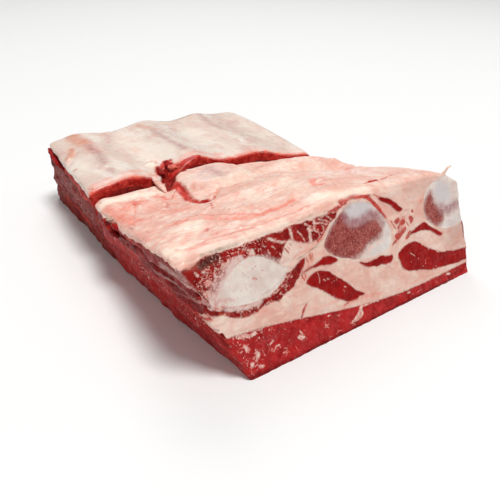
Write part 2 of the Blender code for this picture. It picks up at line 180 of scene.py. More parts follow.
PALE_IN_MEAT = [
    # the marbled wrap round the left rib
    (None, [(-86.2, 40.6), (-83, 39.9), (-79.2, 39.8), (-78.3, 37.8), (-80.1, 35.1), (-80.2, 31.6), (-83.2, 31.4),
            (-85.1, 33.2), (-86.4, 36.8), (-87.8, 40)]),
    (0.9, [(-72.6, 46), (-75.6, 43), (-78.4, 39.8)]),
    (None, [(-76.1, 48.6), (-71.8, 47.8), (-71.4, 46.1), (-72.9, 44.1), (-75.4, 44.1), (-77.4, 45.8)]),
    (None, [(-81.5, 45.1), (-78.8, 44.5), (-75.8, 43), (-75.2, 41.6), (-78, 42.2), (-80.5, 43.6)]),
    (None, [(-86.1, 43.4), (-84.5, 44.4), (-83.2, 44.2), (-82.6, 43.1), (-83.9, 41.9), (-85.7, 42.1)]),
    (None, [(-89.4, 49.4), (-88.5, 48.5), (-87.6, 46.9), (-88.1, 46.5), (-89.2, 47.8)]),
    (None, [(-71.4, 49.3), (-68.9, 49.3), (-66.2, 48.2), (-64.5, 46.9), (-66.2, 46.2), (-69.7, 46.4), (-71.8, 46.2),
            (-72.3, 47.9)]),
    (None, [(-62.5, 50), (-60.5, 49.8), (-59.5, 47.9), (-59.4, 46.3), (-61.2, 45.6), (-63.4, 45.2), (-64.1, 46.4),
            (-63.1, 48.1)]),
    (None, [(-80.9, 32.6), (-76.2, 31.5), (-71.7, 29.7), (-66.6, 29.1), (-62.3, 29.4), (-60, 29.9), (-61.6, 28.3),
            (-65, 27.5), (-69.6, 28), (-73.9, 29.2), (-78.4, 30.8)]),
    (0.3, [(-74.7, 28.3), (-73, 28.7), (-72.2, 27.9)]), (0.28, [(-70.1, 28.2), (-68.9, 27), (-67.2, 27.4)]),
    (0.3, [(-64.8, 28.1), (-64.1, 26.8), (-62.3, 27.7)]), (0.5, [(-59.3, 26.9), (-58, 25.8), (-56.4, 25.5)]),
    (0.25, [(-57.6, 29.2), (-52, 30), (-48, 31.6)]), (0.25, [(-46.4, 33), (-43.6, 35.4)]),
    (0.25, [(-84, 47), (-82, 46.6)]), (0.25, [(-69, 50.6), (-66.6, 50.4)]), (0.3, [(-65, 51), (-63.4, 50.2)]),
    (0.3, [(-56.8, 46.6), (-52, 42.7), (-48, 39.9), (-45, 38.3)]), (0.25, [(-55.4, 49.6), (-53.6, 48.8)]),
    (0.65, [(-51, 51.6), (-48.5, 50), (-45.5, 48.6), (-42, 47.8)]), (0.25, [(-50.4, 48), (-48.8, 46.8)]),
    (0.3, [(-52.8, 47.2), (-52.4, 45.4)]), (0.22, [(-47.2, 44.2), (-46, 42.6)]),
    (0.75, [(-39, 54.4), (-39.3, 50), (-39, 47), (-38, 45)]),
    (0.25, [(-35.4, 50.6), (-33.6, 48.6), (-32.5, 46.4), (-32, 43.8)]),
    (0.85, [(-28.6, 49.8), (-28.8, 46), (-29.2, 42.8)]), (0.7, [(-25, 53.8), (-25, 50.6), (-26, 49), (-28.6, 49.4)]),
    (0.35, [(-24, 48.4), (-23, 45.4), (-24, 43)]), (0.4, [(-24.4, 51.2), (-21, 50.4), (-18, 49.2), (-14.6, 48)]),
    (0.35, [(-22.4, 52.6), (-19, 51.2), (-16, 49.6)]), (0.35, [(-18, 53.2), (-15.6, 51.2), (-14, 49.6)]),
    (0.3, [(-26, 48.6), (-22, 46.2), (-19, 44.8)]), (0.3, [(-20.6, 49.2), (-20, 46), (-21, 44)]),
    (0.3, [(-30.4, 52.4), (-28, 50.8), (-25.6, 50)]),
    # the round muscles
    (0.24, [(-28.9, 31), (-28.4, 28.4), (-28.9, 26)]), (0.26, [(-26.4, 26.9), (-25.6, 26.5)]),
    (0.22, [(-24, 26.4), (-23.2, 26.2)]),
    (0.35, [(-14.8, 20.1), (-14.2, 19.8)]), (0.22, [(33.2, 22), (34.6, 20.9), (35.7, 20)]),
    (0.55, [(51.8, 19.6), (53.4, 17.7), (54.8, 16.9)]), (0.3, [(47.6, 10), (48.4, 9.8)]),
    # the lean at the foot
    (None, [(-77.7, 19.7), (-75.7, 19.8), (-72, 18.2), (-68.4, 18), (-68.2, 16.7), (-72.4, 16.9), (-76.1, 18.5)]),
    (None, [(-75.5, 15.1), (-73.3, 13.9), (-72.8, 12), (-74.9, 12)]),
    (None, [(-71.2, 10), (-69.6, 10.4), (-68.4, 8.9), (-69.8, 7), (-71.2, 6.4), (-70.4, 8.2)]),
    (0.35, [(-61.3, 7.2), (-59.6, 8.7), (-57.8, 8.6)]),
    (None, [(-47.7, 8), (-45.6, 8.2), (-43.2, 6.9), (-45.6, 6.3)]), (0.3, [(-45.5, 10.3), (-44.6, 8.4)]),
    (0.3, [(-62.6, 10.4), (-60.4, 11.4)]), (None, [(-74.3, 7.1), (-72.6, 6.6), (-73, 5), (-73.9, 4.8)]),
    (None, [(-70.4, 4.6), (-67.3, 3.5), (-68.4, 2.8), (-70.6, 3.3)]),
    (0.3, [(-56.6, 4.6), (-55.4, 4.7)]), (0.3, [(-28.2, 11), (-27.2, 11)]), (0.3, [(-49.2, 15.6), (-48.5, 16.1)]),
    (None, [(-3.4, 9.4), (-7.4, 9), (-9.6, 6.8), (-12.6, 4.4), (-16, 3.2), (-9.4, 3), (-6.2, 5), (-6.4, 7.4),
            (0.2, 7.8)]),
    (0.3, [(0.4, 8), (4.5, 7.2)]), (0.5, [(58, 4.1), (60.5, 3.7)]), (0.4, [(26, 4.4), (27.5, 4.2)]),
]
MARROW = [
    (None, [(-22.6, 40.2), (-19, 44.6), (-15.4, 47.8), (-11, 51), (-8, 52.6), (-5.5, 50.4), (-5, 47), (-2, 45),
            (2, 44.6), (6, 45.6), (10, 46), (14, 43.6), (16.5, 40), (16.5, 37), (13, 35.2), (8, 34.4),
            (4, 33), (0, 31), (-3, 29.8), (-8, 30.4), (-13, 32), (-18.6, 34.8)]),
    (None, [(51.5, 45), (56.5, 47.4), (58, 44), (58.6, 40.5), (61.5, 36.8), (63.4, 33.5), (62, 30.6),
            (58.5, 29.4), (55, 30), (52, 33), (49.6, 36), (48.4, 39.6)]),
]

# Pale crumbs scattered on the sawn meat, as (how many, middle, half sizes, half length, half width).
CRUMBS = [
    (26, (-70, 18.4), (9, 1.8), 0.5, 0.26), (14, (-22, 23), (9, 6), 0.35, 0.15), (14, (44, 15), (24, 6), 0.35, 0.16),
    (16, (-62, 27.4), (18, 1.6), 0.5, 0.2), (16, (-48, 32), (5, 5), 0.5, 0.2), (56, (-80, 43), (9, 6.5), 0.65, 0.17),
]
# Thin veins and creases in the fat on top, as (half width, points) in x and y.
TOP_VEINS = [
    (0.5, [(-71.6, 8.3), (-68.5, 7.5), (-65.7, 7)]),
    (0.35, [(-67.6, 10.3), (-71.6, -1.2), (-77.8, -11.5), (-83.3, -18.4)]),
    (0.6, [(-58.4, 8.2), (-54.4, 4.2), (-53.9, -1.5), (-51, -3)]),
    (0.5, [(-66.5, -12.8), (-60.2, -11.9), (-55.5, -10.9), (-53.7, -14.3)]),
    (0.55, [(-83.9, -22.9), (-85.1, -27.5)]), (0.3, [(-65, -15.4), (-70.4, -14.8), (-73.4, -12.8)]),
    (0.5, [(-73.4, -50.3), (-63.7, -43), (-58.2, -45.8), (-52.9, -56.6), (-46.8, -65), (-41, -70), (-34.1, -70),
           (-27.3, -69), (-20.6, -68.3)]),
    (0.6, [(-42.5, -24.9), (-37.3, -21.6), (-31, -15), (-25.2, -13)]), (0.35, [(-25.2, -13), (-20, -16), (-14, -17)]),
    (0.45, [(-94.5, -74.6), (-84.5, -77.6), (-71.6, -77.5), (-55.4, -79), (-39.8, -79.6), (-21.6, -79.1)]),
    (0.35, [(-87.5, -79.7), (-73.9, -81), (-63.1, -82.6)]), (0.4, [(-68.5, -71.9), (-55.2, -75.4), (-46, -77)]),
    (0.3, [(-65.8, -3.5), (-59.9, -3.7), (-55.8, -7.2)]),
    (0.35, [(-61.6, -29.8), (-54.6, -27.9), (-51.4, -32.2), (-48.8, -39.2)]),
    (0.3, [(-71.7, -27.8), (-65.7, -27.2), (-60.2, -25.5)]), (0.4, [(-83.7, 7.1), (-79.3, 4.2), (-76.6, -2)]),
    (0.3, [(-81.5, -69.5), (-72.7, -66.3), (-64.8, -65.5)]), (0.45, [(18, -76.6), (26, -75.2), (33, -74.4)]),
]

# Soft tints, as (strength, radius, points): on the sawn face (x, z), on the tops (x, y), and on the
# left side (y, z).
FACE_TINTS = {
    # Milky cartilage on the sawn ribs, with a painted highlight at the top of the middle and the right rib.
    "milk_and_highlight": [(1.0, 4.6, [(-1, 50), (8, 50)]), (1.0, 5.2, [(64, 45), (67, 44)]),
             (0.5, 3.0, [(8, 30), (17, 31), (20, 37)]),
             (0.5, 3.5, [(66, 28), (75, 29)])],
    "plum": [(0.9, 2.4, [(-6, 49.5), (-4, 46.5), (3, 45.6), (10, 47), (15, 45), (18, 41)]),
             (0.5, 1.6, [(-6, 52.6), (-1, 53.4)]), (0.9, 3.4, [(62, 37), (68, 35.5), (76, 36)]),
             (0.5, 0.5, [(-60.2, 31), (-54, 31.6), (-50, 33.2), (-46, 36)]),
             (0.4, 2.2, [(-66, 12.6), (-60, 12.6)])],
    "scorch": [(0.9, 2.0, [(-85.6, 50), (-82, 51), (-78, 51.6)]), (0.6, 1.3, [(-81, 49.6), (-78, 49.2)]),
               (0.45, 0.9, [(-62, 52), (-56, 52), (-50, 51.4)]), (0.4, 0.9, [(-46, 53), (-30, 53.4), (-14, 53.4)]),
               (0.7, 0.35, [(-65.3, 39.9), (-65.1, 39.7)]), (0.6, 0.5, [(-86.2, 25.9), (-85, 24.4)]),
               (0.6, 0.5, [(-12, 3.2), (-9.6, 3.2)])],
    "amber": [(0.6, 1.6, [(-92.4, 51.6), (-87, 50.8)]), (0.45, 3.6, [(3, 18), (5, 13), (3, 11)]),
              (0.7, 1.0, [(60, 25.4), (66, 24.4)]), (0.45, 2.6, [(70, 19), (77, 21)]),
              (0.8, 1.4, [(-30.5, 38.4), (-30.4, 37)]), (0.5, 1.2, [(32.4, 30.2), (35, 30.6)])],
    "blush": [(0.35, 3.4, [(31, 39), (29, 34), (26, 31)]), (0.25, 3.0, [(-45, 47), (-40, 48)]),
              (0.4, 2.4, [(-36, 33), (-30, 38), (-24, 38)]), (0.5, 3.0, [(12, 58.5), (19, 58)]),
              (0.4, 1.2, [(-8, 59.8), (-1, 60)]), (0.35, 3.2, [(-17, 27), (-9, 22)]),
              (0.45, 0.7, [(-38, 17.2), (-30, 16), (-20, 15.4)]), (0.5, 1.1, [(-18, 12), (-4, 12), (8, 10)]),
              (0.7, 1.1, [(46.6, 44.2), (48, 44)]), (0.4, 1.6, [(39, 55), (35, 52), (36, 48)]),
              (0.55, 1.0, [(-89, 31.6), (-84, 30.4), (-78, 29)]), (0.4, 1.6, [(-72, 25), (-60, 24.4)]),
              (0.4, 1.0, [(20, 8), (40, 8), (60, 6.4)]), (0.5, 0.8, [(-40, 40.6), (-30, 42), (-22, 44)])],
    # Grey ash: partly the meat's own grey lines, and partly painted shade down the face's right edge.
    "ash_and_shade": [(0.5, 0.8, [(-56, 54.6), (-40, 55), (-26, 54.8), (-14, 55)]),
            (0.7, 1.1, [(-84, 54), (-74, 53.8), (-66, 54.4)]),
            (0.8, 0.4, [(-38.6, 39.4), (-33, 40.3), (-27, 41.6), (-22.6, 43.6)]),
            (0.4, 2.0, [(76, 27), (77, 40), (75, 48)])],
    "silver": [(0.9, 0.8, [(-96.4, 52.4), (-93, 46), (-89.6, 39.6), (-86.4, 34.4)])],
    "film": [(0.44, 3.6, [(-83, 40), (-80, 42.6), (-76, 46)]),
             (1.0, 0.7, [(-91, 36.8), (-88.4, 33.8), (-86, 31.6), (-83.6, 30.8)])],
    "blood": [(0.4, 1.4, [(-82.6, 34.8), (-80.1, 35), (-77.3, 34.4), (-75.1, 33.5)]),
              (0.3, 1.2, [(-80.4, 33.6), (-77.7, 33)]),
              (0.6, 1.2, [(-64, 49.6), (-70, 50.4)]), (0.5, 0.6, [(-63.4, 38.4), (-61.8, 37.8)]),
              (0.45, 2.4, [(32, 38.6), (28, 34), (25, 31)]),
              (0.55, 1.1, [(-7, 56.3), (2, 57), (10, 55.2), (15, 50), (18, 46)])],
    # Painted shade: dark lines in the creases of the sawn face and along its foot, where it meets the floor.
    "crease_shade": [(0.62, 1.5, [(-79, 1), (-50, 0.4), (-10, 0.3), (60, 0.3)]),
               (0.42, 2.4, [(-79, 17), (-77, 12), (-76, 6)]),
               (0.4, 2.4, [(-66, 9.6), (-64, 6), (-66, 3)]), (0.34, 2.6, [(-52, 6), (-36, 4)]),
               (0.5, 1.2, [(-88, 30.6), (-84, 30)])],
    # Pale flecks: saw crumbs, partly painted glints of wet highlights.
    "fleck_and_glint": [(0.9, 1.0, [(-77.7, 19.3), (-72, 17.6), (-68.3, 17.4)]), (0.7, 1.1, [(-75, 14), (-73.6, 12)]),
              (0.7, 1.2, [(-70.4, 10), (-71, 7)]), (0.5, 1.0, [(-60.4, 8.3), (-57.6, 8.1)]),
              (0.7, 1.2, [(-46, 7.4), (-44, 7.6)]),
              (0.8, 1.5, [(-73, 6), (-69, 4)]), (0.3, 3, [(-80, 19), (-77, 12), (-72, 5)]),
              (0.2, 3.4, [(-66, 14), (-56, 14)]), (0.3, 0.6, [(10, 8.6), (30, 6.6), (60, 5)]),
              (0.6, 5.5, [(-82, 44), (-74, 49), (-62, 50)]), (0.3, 2, [(-72, 28), (-56, 28), (-46, 33)]),
              (0.8, 1.4, [(1, 31), (9, 32.4), (16, 33)])],
    # Painted shade: the whole sawn face a little darker, and the fat on its right more so, where less light falls.
    "face_shade": [(0.5, 9, [(40, 60), (66, 58), (86, 46), (88, 30), (70, 22)]), (0.12, 60, [(-40, 20), (20, 20)])],
    "gristle": [(0.9, 1.5, [(-87, 33.4), (-82.6, 36), (-79.4, 40.6), (-74, 45.4), (-67, 48.2)]),
                (0.7, 2.4, [(-84, 37), (-81, 41), (-77, 44)]), (0.7, 1.0, [(-62, 28.6), (-70, 28.8), (-80, 30.8)]),
                (0.5, 1.2, [(-54, 45), (-48, 41)])],
}
TOP_TINTS = {
    "blush": [
        (0.75, 7, [(-86, 8), (-85, -6), (-82, -20)]), (0.75, 5, [(-76, 2), (-66, 5)]),
        (0.5, 9, [(-70, -12), (-60, -26)]),
        (0.7, 3, [(-54, -2), (-54, 7)]), (0.6, 4, [(-75, -44), (-65, -48)]), (0.5, 4, [(-90, -36), (-92, -50)]),
        (0.7, 3.2, [(-60, -52), (-57, -60)]), (0.8, 2.4, [(-57, -60), (-52, -65.5), (-47, -69)]),
        (0.5, 1.4, [(-47, -67), (-38, -70), (-28, -69.6), (-20, -68)]),
        (0.8, 3.4, [(-30, 39), (-26, 34), (-21, 31)]), (0.6, 2.2, [(-36, 38), (-41, 35), (-46, 33)]),
        # This blush stroke is painted shade in the pit of a dimple.
        (0.8, 2.0, [(5, -52), (0, -58), (-3.8, -63.4), (-1.4, -65)]),
        (0.55, 1.7, [(-32, -24), (-25, -30), (-17, -36)]),
        (0.6, 2.4, [(38, -46), (50, -34), (62, -24), (76, -10)]), (0.45, 1.0, [(-86, -80), (-66, -79), (-48, -80.4)]),
        (0.4, 1.2, [(-34, -79), (-10, -80), (14, -79)]), (0.6, 3, [(-76, -64), (-84, -72)]),
        (0.4, 3, [(44, -52), (60, -44)]), (0.55, 3, [(-82, 33), (-70, 35)]), (0.6, 3, [(-60, 34), (-48, 37)]),
        (0.55, 3, [(-22, 37), (-5, 36), (8, 36)]),
        (0.45, 2.4, [(25, 33), (45, 34), (72, 33)]), (0.5, 6, [(-54, 108), (-57, 84)]),
        (0.35, 4, [(-34, 92), (-32, 74)]),
    ],
    "amber": [
        (0.5, 7, [(-24, -24), (-20, -32), (-31, -30)]), (0.9, 1.5, [(-27.6, -13.6), (-33, -20), (-38, -26.6)]),
        (0.35, 6, [(-14, -14), (-24, -18)]), (1.0, 5, [(-56, 126), (-57, 116), (-57, 104)]),
        (0.75, 3.6, [(-9, 121), (-7, 108), (-5, 100)]), (0.6, 4, [(-57, 100), (-58, 84)]),
        (1.0, 2.6, [(-80, 78), (-75, 86), (-69.6, 92), (-66, 102)]),
        (0.4, 2.5, [(34, 118), (37, 124)]), (0.35, 5, [(12, 108), (15, 120)]), (0.3, 5, [(56, 104), (52, 84)]),
        (0.9, 1.0, [(-38.4, 49.6), (-35.6, 52.6), (-33, 49.4), (-32.6, 45.6)]), (0.35, 6, [(30, -20), (20, -30)]),
    ],
    "plum": [
        (0.55, 4, [(-15, 18), (-17, 5), (-19.4, -6)]), (0.66, 3.6, [(-56, 98), (-57, 86), (-59, 70), (-61, 60)]),
        (0.5, 2.6, [(-64, 57), (-61, 56)]), (0.5, 4, [(-65, 46), (-64, 40)]),
        (0.65, 2.8, [(-8, 100), (-9, 84), (-11, 68), (-13, 46)]),
        (0.32, 9, [(0, 116), (0, 96), (-1, 76), (0, 50)]), (0.55, 3.6, [(45, 122), (41, 108), (38, 95), (37, 80)]),
        (0.3, 10, [(56, 116), (50, 90), (54, 56)]), (0.4, 3, [(60, 46), (50, 60)]),
    ],
    "cream": [
        (0.8, 4.2, [(-86, -74), (-76, -64), (-66, -54)]), (0.55, 7, [(-10, -9), (10, -4)]),
        (0.5, 7, [(-6, -44), (-14, -62)]), (0.75, 4.5, [(-14, -76), (-2, -82), (12, -83)]),
        (0.5, 5, [(-30, -42), (-32, -56)]), (0.8, 4, [(-77, -60), (-70, -51)]),
        (1.0, 3, [(-86, 15), (-70, 16), (-55, 12)]),
        (0.7, 4, [(-93, -72), (-92, -80)]), (0.5, 2.6, [(-82, -83.6), (-40, -83.6)]),
        (0.6, 8, [(-26, 2), (-30, 10), (-20, -10)]),
        (0.5, 9, [(-25, 112), (-32, 84), (-32, 60)]), (0.35, 8, [(20, 110), (17, 80), (18, 50)]),
        (0.4, 8, [(20, -12), (44, -12)]),
        (0.6, 3, [(-46, 26), (-50, 12), (-51, 8)]), (1.0, 2.2, [(-38, 46.4), (-36.6, 43.8)]),
    ],
    "blood": [
        (1.0, 2.3, [(-42, 12), (-42.4, 2), (-44, -6), (-47, -15), (-47.6, -22), (-45, -29)]),
        (1.0, 1.4, [(-46, -27), (-43, -31)]),
        (0.5, 1.1, [(-46, -33), (-50, -42)]), (0.42, 2.4, [(-69.6, 4), (-67.6, 6.4)]),
        (0.42, 2.4, [(-60, -13), (-58, -10)]),
        (0.5, 1.2, [(-87, -25), (-87, -31)]), (0.6, 1.4, [(-41, -29.6), (-38.6, -26.6)]),
        (1.0, 1.1, [(23, -75.4), (30, -74.6)]),
        (0.55, 0.9, [(17, -76.4), (32, -74.4), (46, -70.4)]), (0.4, 1.6, [(-54, 0), (-53.4, 3)]),
        (0.9, 2.2, [(-33, 41), (-29, 43.4), (-27, 41.6)]), (0.75, 1.8, [(-28, 36), (-25, 32), (-21, 30.4)]),
        (0.9, 2.0, [(-37.4, 37), (-35.6, 41)]), (1.0, 2.2, [(-31, 32.6), (-26, 31.6), (-20, 31.6), (-13, 30.4)]),
        (0.8, 1.2, [(-80, 66), (-77.6, 65)]), (0.5, 1.2, [(-81, 79), (-77, 84)]),
        (0.7, 1.0, [(-83.4, 33), (-81.6, 31.4)]), (0.5, 1.2, [(-70, -67), (-67.6, -64.6)]),
    ],
    "film": [
        (1.0, 3.2, [(-36, 30), (-38, 22), (-41, 16), (-45, 11)]), (1.0, 2.4, [(-35, 33), (-32, 37)]),
        (1.0, 1.9, [(-34, 30.6), (-29.4, 31)]),
        (1.0, 2.0, [(-38, 20), (-33, 21.6), (-29, 21.8)]), (0.9, 1.6, [(-92, 3), (-90.6, -6), (-91.4, -12)]),
        (0.7, 1.2, [(-86.6, -2), (-88, -8)]), (0.8, 1.1, [(-97, -60), (-95.4, -66)]),
    ],
    "gristle": [(0.6, 10, [(-27, 2), (-15, 13)]), (0.4, 8, [(20, 8), (40, 14)]), (0.35, 8, [(8, -30), (26, -34)])],
    # Grey ash: partly painted shadow along the back edge and on the right of the back top.
    "ash_and_shade": [(0.6, 2.2, [(-60, 128), (0, 128), (18, 124), (30, 124), (60, 122)]), (0.5, 1.2, [(-88.4, 0), (-88, -9)]),
            (0.4, 3, [(74, 40), (75, 90)])],
}
SIDE_TINTS = {
    "silver": [
        (1.0, 1.3, [(-92, 43.6), (-88, 46.6), (-78, 46.6), (-68, 44.6)]),
        (0.7, 0.6, [(-70, 42.6), (-58, 40.8), (-44, 39.4)]),
        (0.75, 0.5, [(-94, 37.4), (-80, 36.6), (-66, 34.6), (-50, 32.6)]),
        (0.5, 0.6, [(-92, 34.4), (-76, 30.4), (-60, 27), (-46, 24)]), (0.5, 0.5, [(-40, 30), (-24, 27.4), (-8, 26)]),
    ],
    "blood": [
        (0.8, 1.0, [(-96, 30), (-84, 25), (-74, 20)]), (0.55, 2.2, [(-32, 28), (-16, 25), (4, 22)]),
        (0.7, 1.6, [(-64, 41), (-50, 39.6), (-34, 38.4), (-18, 37.6)]),
        (1.0, 1.6, [(24, 34.5), (55, 34.5), (77, 35), (98, 36), (107, 38), (122, 41)]),
        (0.7, 1.4, [(56, 9), (90, 9), (112, 8)]), (0.8, 2.4, [(6, 30), (18, 26)]),
        (0.5, 3, [(-40, 8), (-20, 6), (0, 8)]),
    ],
    # Painted shade: dark lines in the side's folds, and a patch of shadow on the side by the cut.
    "crease_shade": [
        (1.0, 0.8, [(-96, 38), (-90, 40.4), (-79, 39.4), (-69, 37.5), (-59, 36.2), (-49, 35.4), (-37, 34.6),
                    (-24, 33.8), (-8, 33)]),
        (0.8, 0.5, [(-96, 35), (-88, 34.4), (-78, 33.6)]), (0.7, 3, [(14, 14), (22, 14)]),
        (0.5, 2.6, [(-50, 30), (-36, 29)]), (0.45, 3.5, [(-66, 12), (-40, 14)]),
    ],
    # Pale flecks on the side: crumbs, partly painted glints.
    "fleck_and_glint": [(0.8, 0.9, [(-40, 20), (-30, 16)]), (0.5, 2.6, [(-70, 22), (-40, 20), (-10, 18)]),
              (0.4, 4, [(-90, 22), (-60, 10)]),
              (0.6, 1.4, [(-60, 39), (-40, 37.6)]), (0.35, 4, [(30, 22), (100, 22)])],
    "pale": [(1.0, 0.5, [(-34, 17.4), (-28, 15.4)]), (0.8, 0.35, [(-53, 38.6), (-50, 37.4)]),
             (0.9, 0.6, [(-37, 19.6), (-32, 17.2)]),
             (0.7, 0.3, [(-72, 22), (-62, 18)]), (0.6, 0.3, [(-60, 30), (-48, 26.6)])],
}
SEAM_WEDGE = [(-110, 38), (-96, 33.4), (-86, 27.4), (-76, 21), (-67, 16.4), (-72, 16), (-84, 18.4), (-96, 22.6),
              (-110, 26)]

# Creases and folds, as (depth, width, points).
TOP_FOLDS = [
    (1.3, 1.7, [(-60, -53), (-56, -60), (-52, -65.5), (-47, -69), (-38, -71.4), (-28, -70), (-19, -68.4)]),
    (-2.8, 5.0, [(63, -11), (66, -20)]), (4.6, 5.0, [(26, 10), (46, 8), (56, 1)]),
    (-1.9, 5, [(70, -88), (78, -88), (80, -74)]),
    (1.6, 1.3, [(-41, 4), (-43, -8), (-46.6, -18), (-47, -26), (-44, -30), (-38, -27), (-32, -19), (-27, -13)]),
    (0.9, 0.9, [(18, -76.4), (26, -75), (34, -74), (46, -70.4)]),
    (0.8, 2.2, [(5, -52), (0, -58), (-3.8, -63.4), (-1.4, -65)]),
    (0.7, 1.3, [(38, -46), (50, -34), (62, -24), (76, -10)]), (0.7, 1.0, [(-73, -4), (-78, -12), (-83, -20)]),
    (0.6, 0.9, [(-66, 8), (-70, 2), (-73, -6)]), (0.6, 1.0, [(-58, -8), (-61, -16), (-64, -24)]),
    (-0.7, 1.8, [(-79, 80), (-73, 88), (-68, 95)]), (0.7, 1.4, [(-77, 77), (-71, 86), (-66, 94)]),
    (-1.6, 1.9, [(-38, 46.4), (-36.6, 43.8)]), (0.8, 1.0, [(-38.4, 49.6), (-35.6, 52.6), (-33, 49.4), (-32.6, 45.6)]),
    (2.4, 2.2, [(-37, 22), (-40.6, 16.6), (-44.6, 11.6)]),
    (0.5, 0.8, [(-37.3, -21.6), (-31, -15), (-25.2, -13), (-14, -17)]),
    (-0.6, 1.0, [(-94, -78), (-76, -80), (-56, -81.4)]), (0.6, 0.8, [(-88, -76), (-70, -76), (-52, -77)]),
    (0.45, 0.9, [(-68.5, -71.9), (-55.2, -75.4), (-42.5, -76.9), (-20, -77.5)]), (-0.8, 2.4, [(1, -58), (8, -55)]),
    (0.5, 1.2, [(-64, 60), (-60, 54), (-66, 48)]), (0.4, 2.0, [(-62, 104), (-62, 84), (-63, 66)]),
]
SIDE_FOLDS = [
    (2.2, 1.2, [(-96, 38), (-90, 40.4), (-79, 39.4), (-69, 37.5), (-59, 36.2), (-49, 35.4), (-37, 34.6), (-24, 33.8),
                (-8, 33)]),
    (-1.2, 1.6, [(-92, 44), (-88, 46.4), (-78, 46), (-66, 44), (-50, 41)]),
    (1.2, 0.8, [(-96, 35), (-88, 34.4), (-78, 33.6), (-64, 31.4)]),
    (-0.8, 1.0, [(-94, 37.2), (-80, 36.6), (-66, 34.4), (-50, 32.4)]),
    (-0.9, 1.4, [(-94, 31), (-76, 27.6), (-60, 24.6), (-46, 22)]),
    (1.0, 0.8, [(-30, 30), (-16, 29), (0, 28)]), (1.8, 2.6, [(131, 36.6), (116, 36.6), (100, 37.4)]),
    (1.0, 1.2, [(-84, 18), (-68, 14), (-50, 12), (-30, 11)]),
    (-1.0, 2.2, [(-60, 30), (-40, 26), (-20, 22), (0, 20)]), (1.1, 1.1, [(-40, 21), (-20, 17), (4, 15), (20, 14)]),
    (1.3, 1.3, [(24, 36.6), (50, 37.4), (90, 36.6), (126, 35)]),
    (1.0, 1.5, [(26, 10), (60, 12), (100, 11.6), (128, 11)]), (-0.6, 4.0, [(34, 24), (70, 25), (116, 24)]),
]


def blend(low, high, share):
    return low + (high - low) * share


def ease(start, end, value):
    """0 before start, 1 after end, with a smooth run between them."""
    share = np.clip((value - start) / (end - start), 0.0, 1.0)
    return share * share * (3 - 2 * share)


def bell(offset):
    return np.exp(-offset * offset)


def lobe(x, y, centre, radii, softness):
    """1 on an oval lobe, 0 outside it; softness is the share of the radius that its shoulder takes."""
    reach = np.hypot((x - centre[0]) / radii[0], (y - centre[1]) / radii[1])
    return 1 - ease(1 - softness, 1, reach)


def side_slope(y):
    return blend(0.43, 0.05, (y - FRONT_Y) / (BACK_Y - FRONT_Y))


def left_side(y, z):
    return -75.5 - 1.5 * ease(-100, -40, y) + 6.5 * ease(10, 130, y) - side_slope(y) * z


def right_side(y, z):
    waist = 3.0 * ease(20, 45, z) * ease(-70, -20, y) * (1 - ease(0, 40, y))
    return 77.4 + 0.8 * bell((z - 16) / 14) - waist - 3.0 * ease(112, 131, y)


def front_face(x, z):
    return FRONT_Y + FRONT_LEAN * z


def cut_front(x, z):
    return CUT_Y - CUT_WIDTH / 2 + CUT_LEAN * z


def cut_back(x, z):
    return CUT_Y + CUT_WIDTH / 2 + (CUT_LEAN + 0.03) * z


def back_face(x, z):
    return BACK_Y - BACK_SKEW * ease(10, 80, x) - 1.5 * bell((x - 22) / 9)


def shoulder(distance, radius, drop):
    """How far a rounded edge drops at this distance in from it."""
    share = np.clip(1 - distance / radius, 0.0, 1.0)
    return drop * share * share


def front_sag(x, y):
    face = FRONT_HEIGHT + CROWN_HEIGHT * bell((x - 2) / 26) - 2.5 * ease(50, 78, x)
    cut = CUT_HEIGHT - 6.5 * ease(10, 75, x)
    early = 14 * (1 - ease(-90, -30, x)) + 8 * ease(15, 55, x)
    return blend(face, cut, ease(-78, 20, y + early))


def front_top(x, y):
    height = front_sag(x, y)
    for rise, centre, radii, softness in FRONT_LOBES:
        height = height + rise * lobe(x, y, centre, radii, softness)
    height = height - shoulder(x - left_side(y, height), 7, 3.2)
    height = height - shoulder(right_side(y, height) - x, 12, 5.0)
    height = height - shoulder(y - front_face(x, height), 5, 1.2)
    to_right = ease(20, 45, x)
    return height - shoulder(cut_front(x, height) - y, blend(6, 12, to_right), blend(3.0, 4.5, to_right))


def along_back(ends, y):
    """The value on the straight run from the cut to the back."""
    return blend(ends[0], ends[1], (y - CUT_Y) / (BACK_Y - CUT_Y))


def back_sag(x, y):
    right_fall = blend(10.0, 0.0, np.clip((y - 25) / 80, 0.0, 1.0))
    return BACK_HEIGHT - 1.0 * ease(30, 120, y) - right_fall * ease(10, 80, x)


def back_top(x, y):
    height = back_sag(x, y)
    for line, ridge, _ in BACK_RIBS.values():
        height = height + along_back(ridge, y) * bell((x - along_back(line, y)) / 12)
    rise, centre, radii, softness = BACK_TEAR
    height = height + rise * lobe(x, y, centre, radii, softness)
    height = height - shoulder(x - left_side(y, height), 5, 2.0)
    height = height - shoulder(right_side(y, height) - x, 6, 2.4)
    height = height - shoulder(y - cut_back(x, height), blend(6, 15, bell((x + 14) / 22)), 1.4)
    return height - shoulder(back_face(x, height) - y, 5, 1.6)


def front_lean_top(x, y):
    face = 5.4 + 14.8 * (1 - ease(-92, 42, x)) ** 1.2
    rise = 6.5 * ease(-104, -58, y) * (1 - ease(-88, -52, x))
    return face + rise + 2.5 * ease(-90, 10, y) * ease(-40, 40, x)


def back_lean_top(x, y):
    return 0.34 * back_sag(x, y) + 1.0 * np.sin(x / 17 + y / 31)


def back_seam_top(x, y):
    return 0.45 * back_sag(x, y) + 0.8 * np.sin(x / 23 - y / 29)


def back_flesh_top(x, y):
    return back_top(x, y) - COVER_THICKNESS


def flat_floor(x, y):
    return np.zeros_like(x)


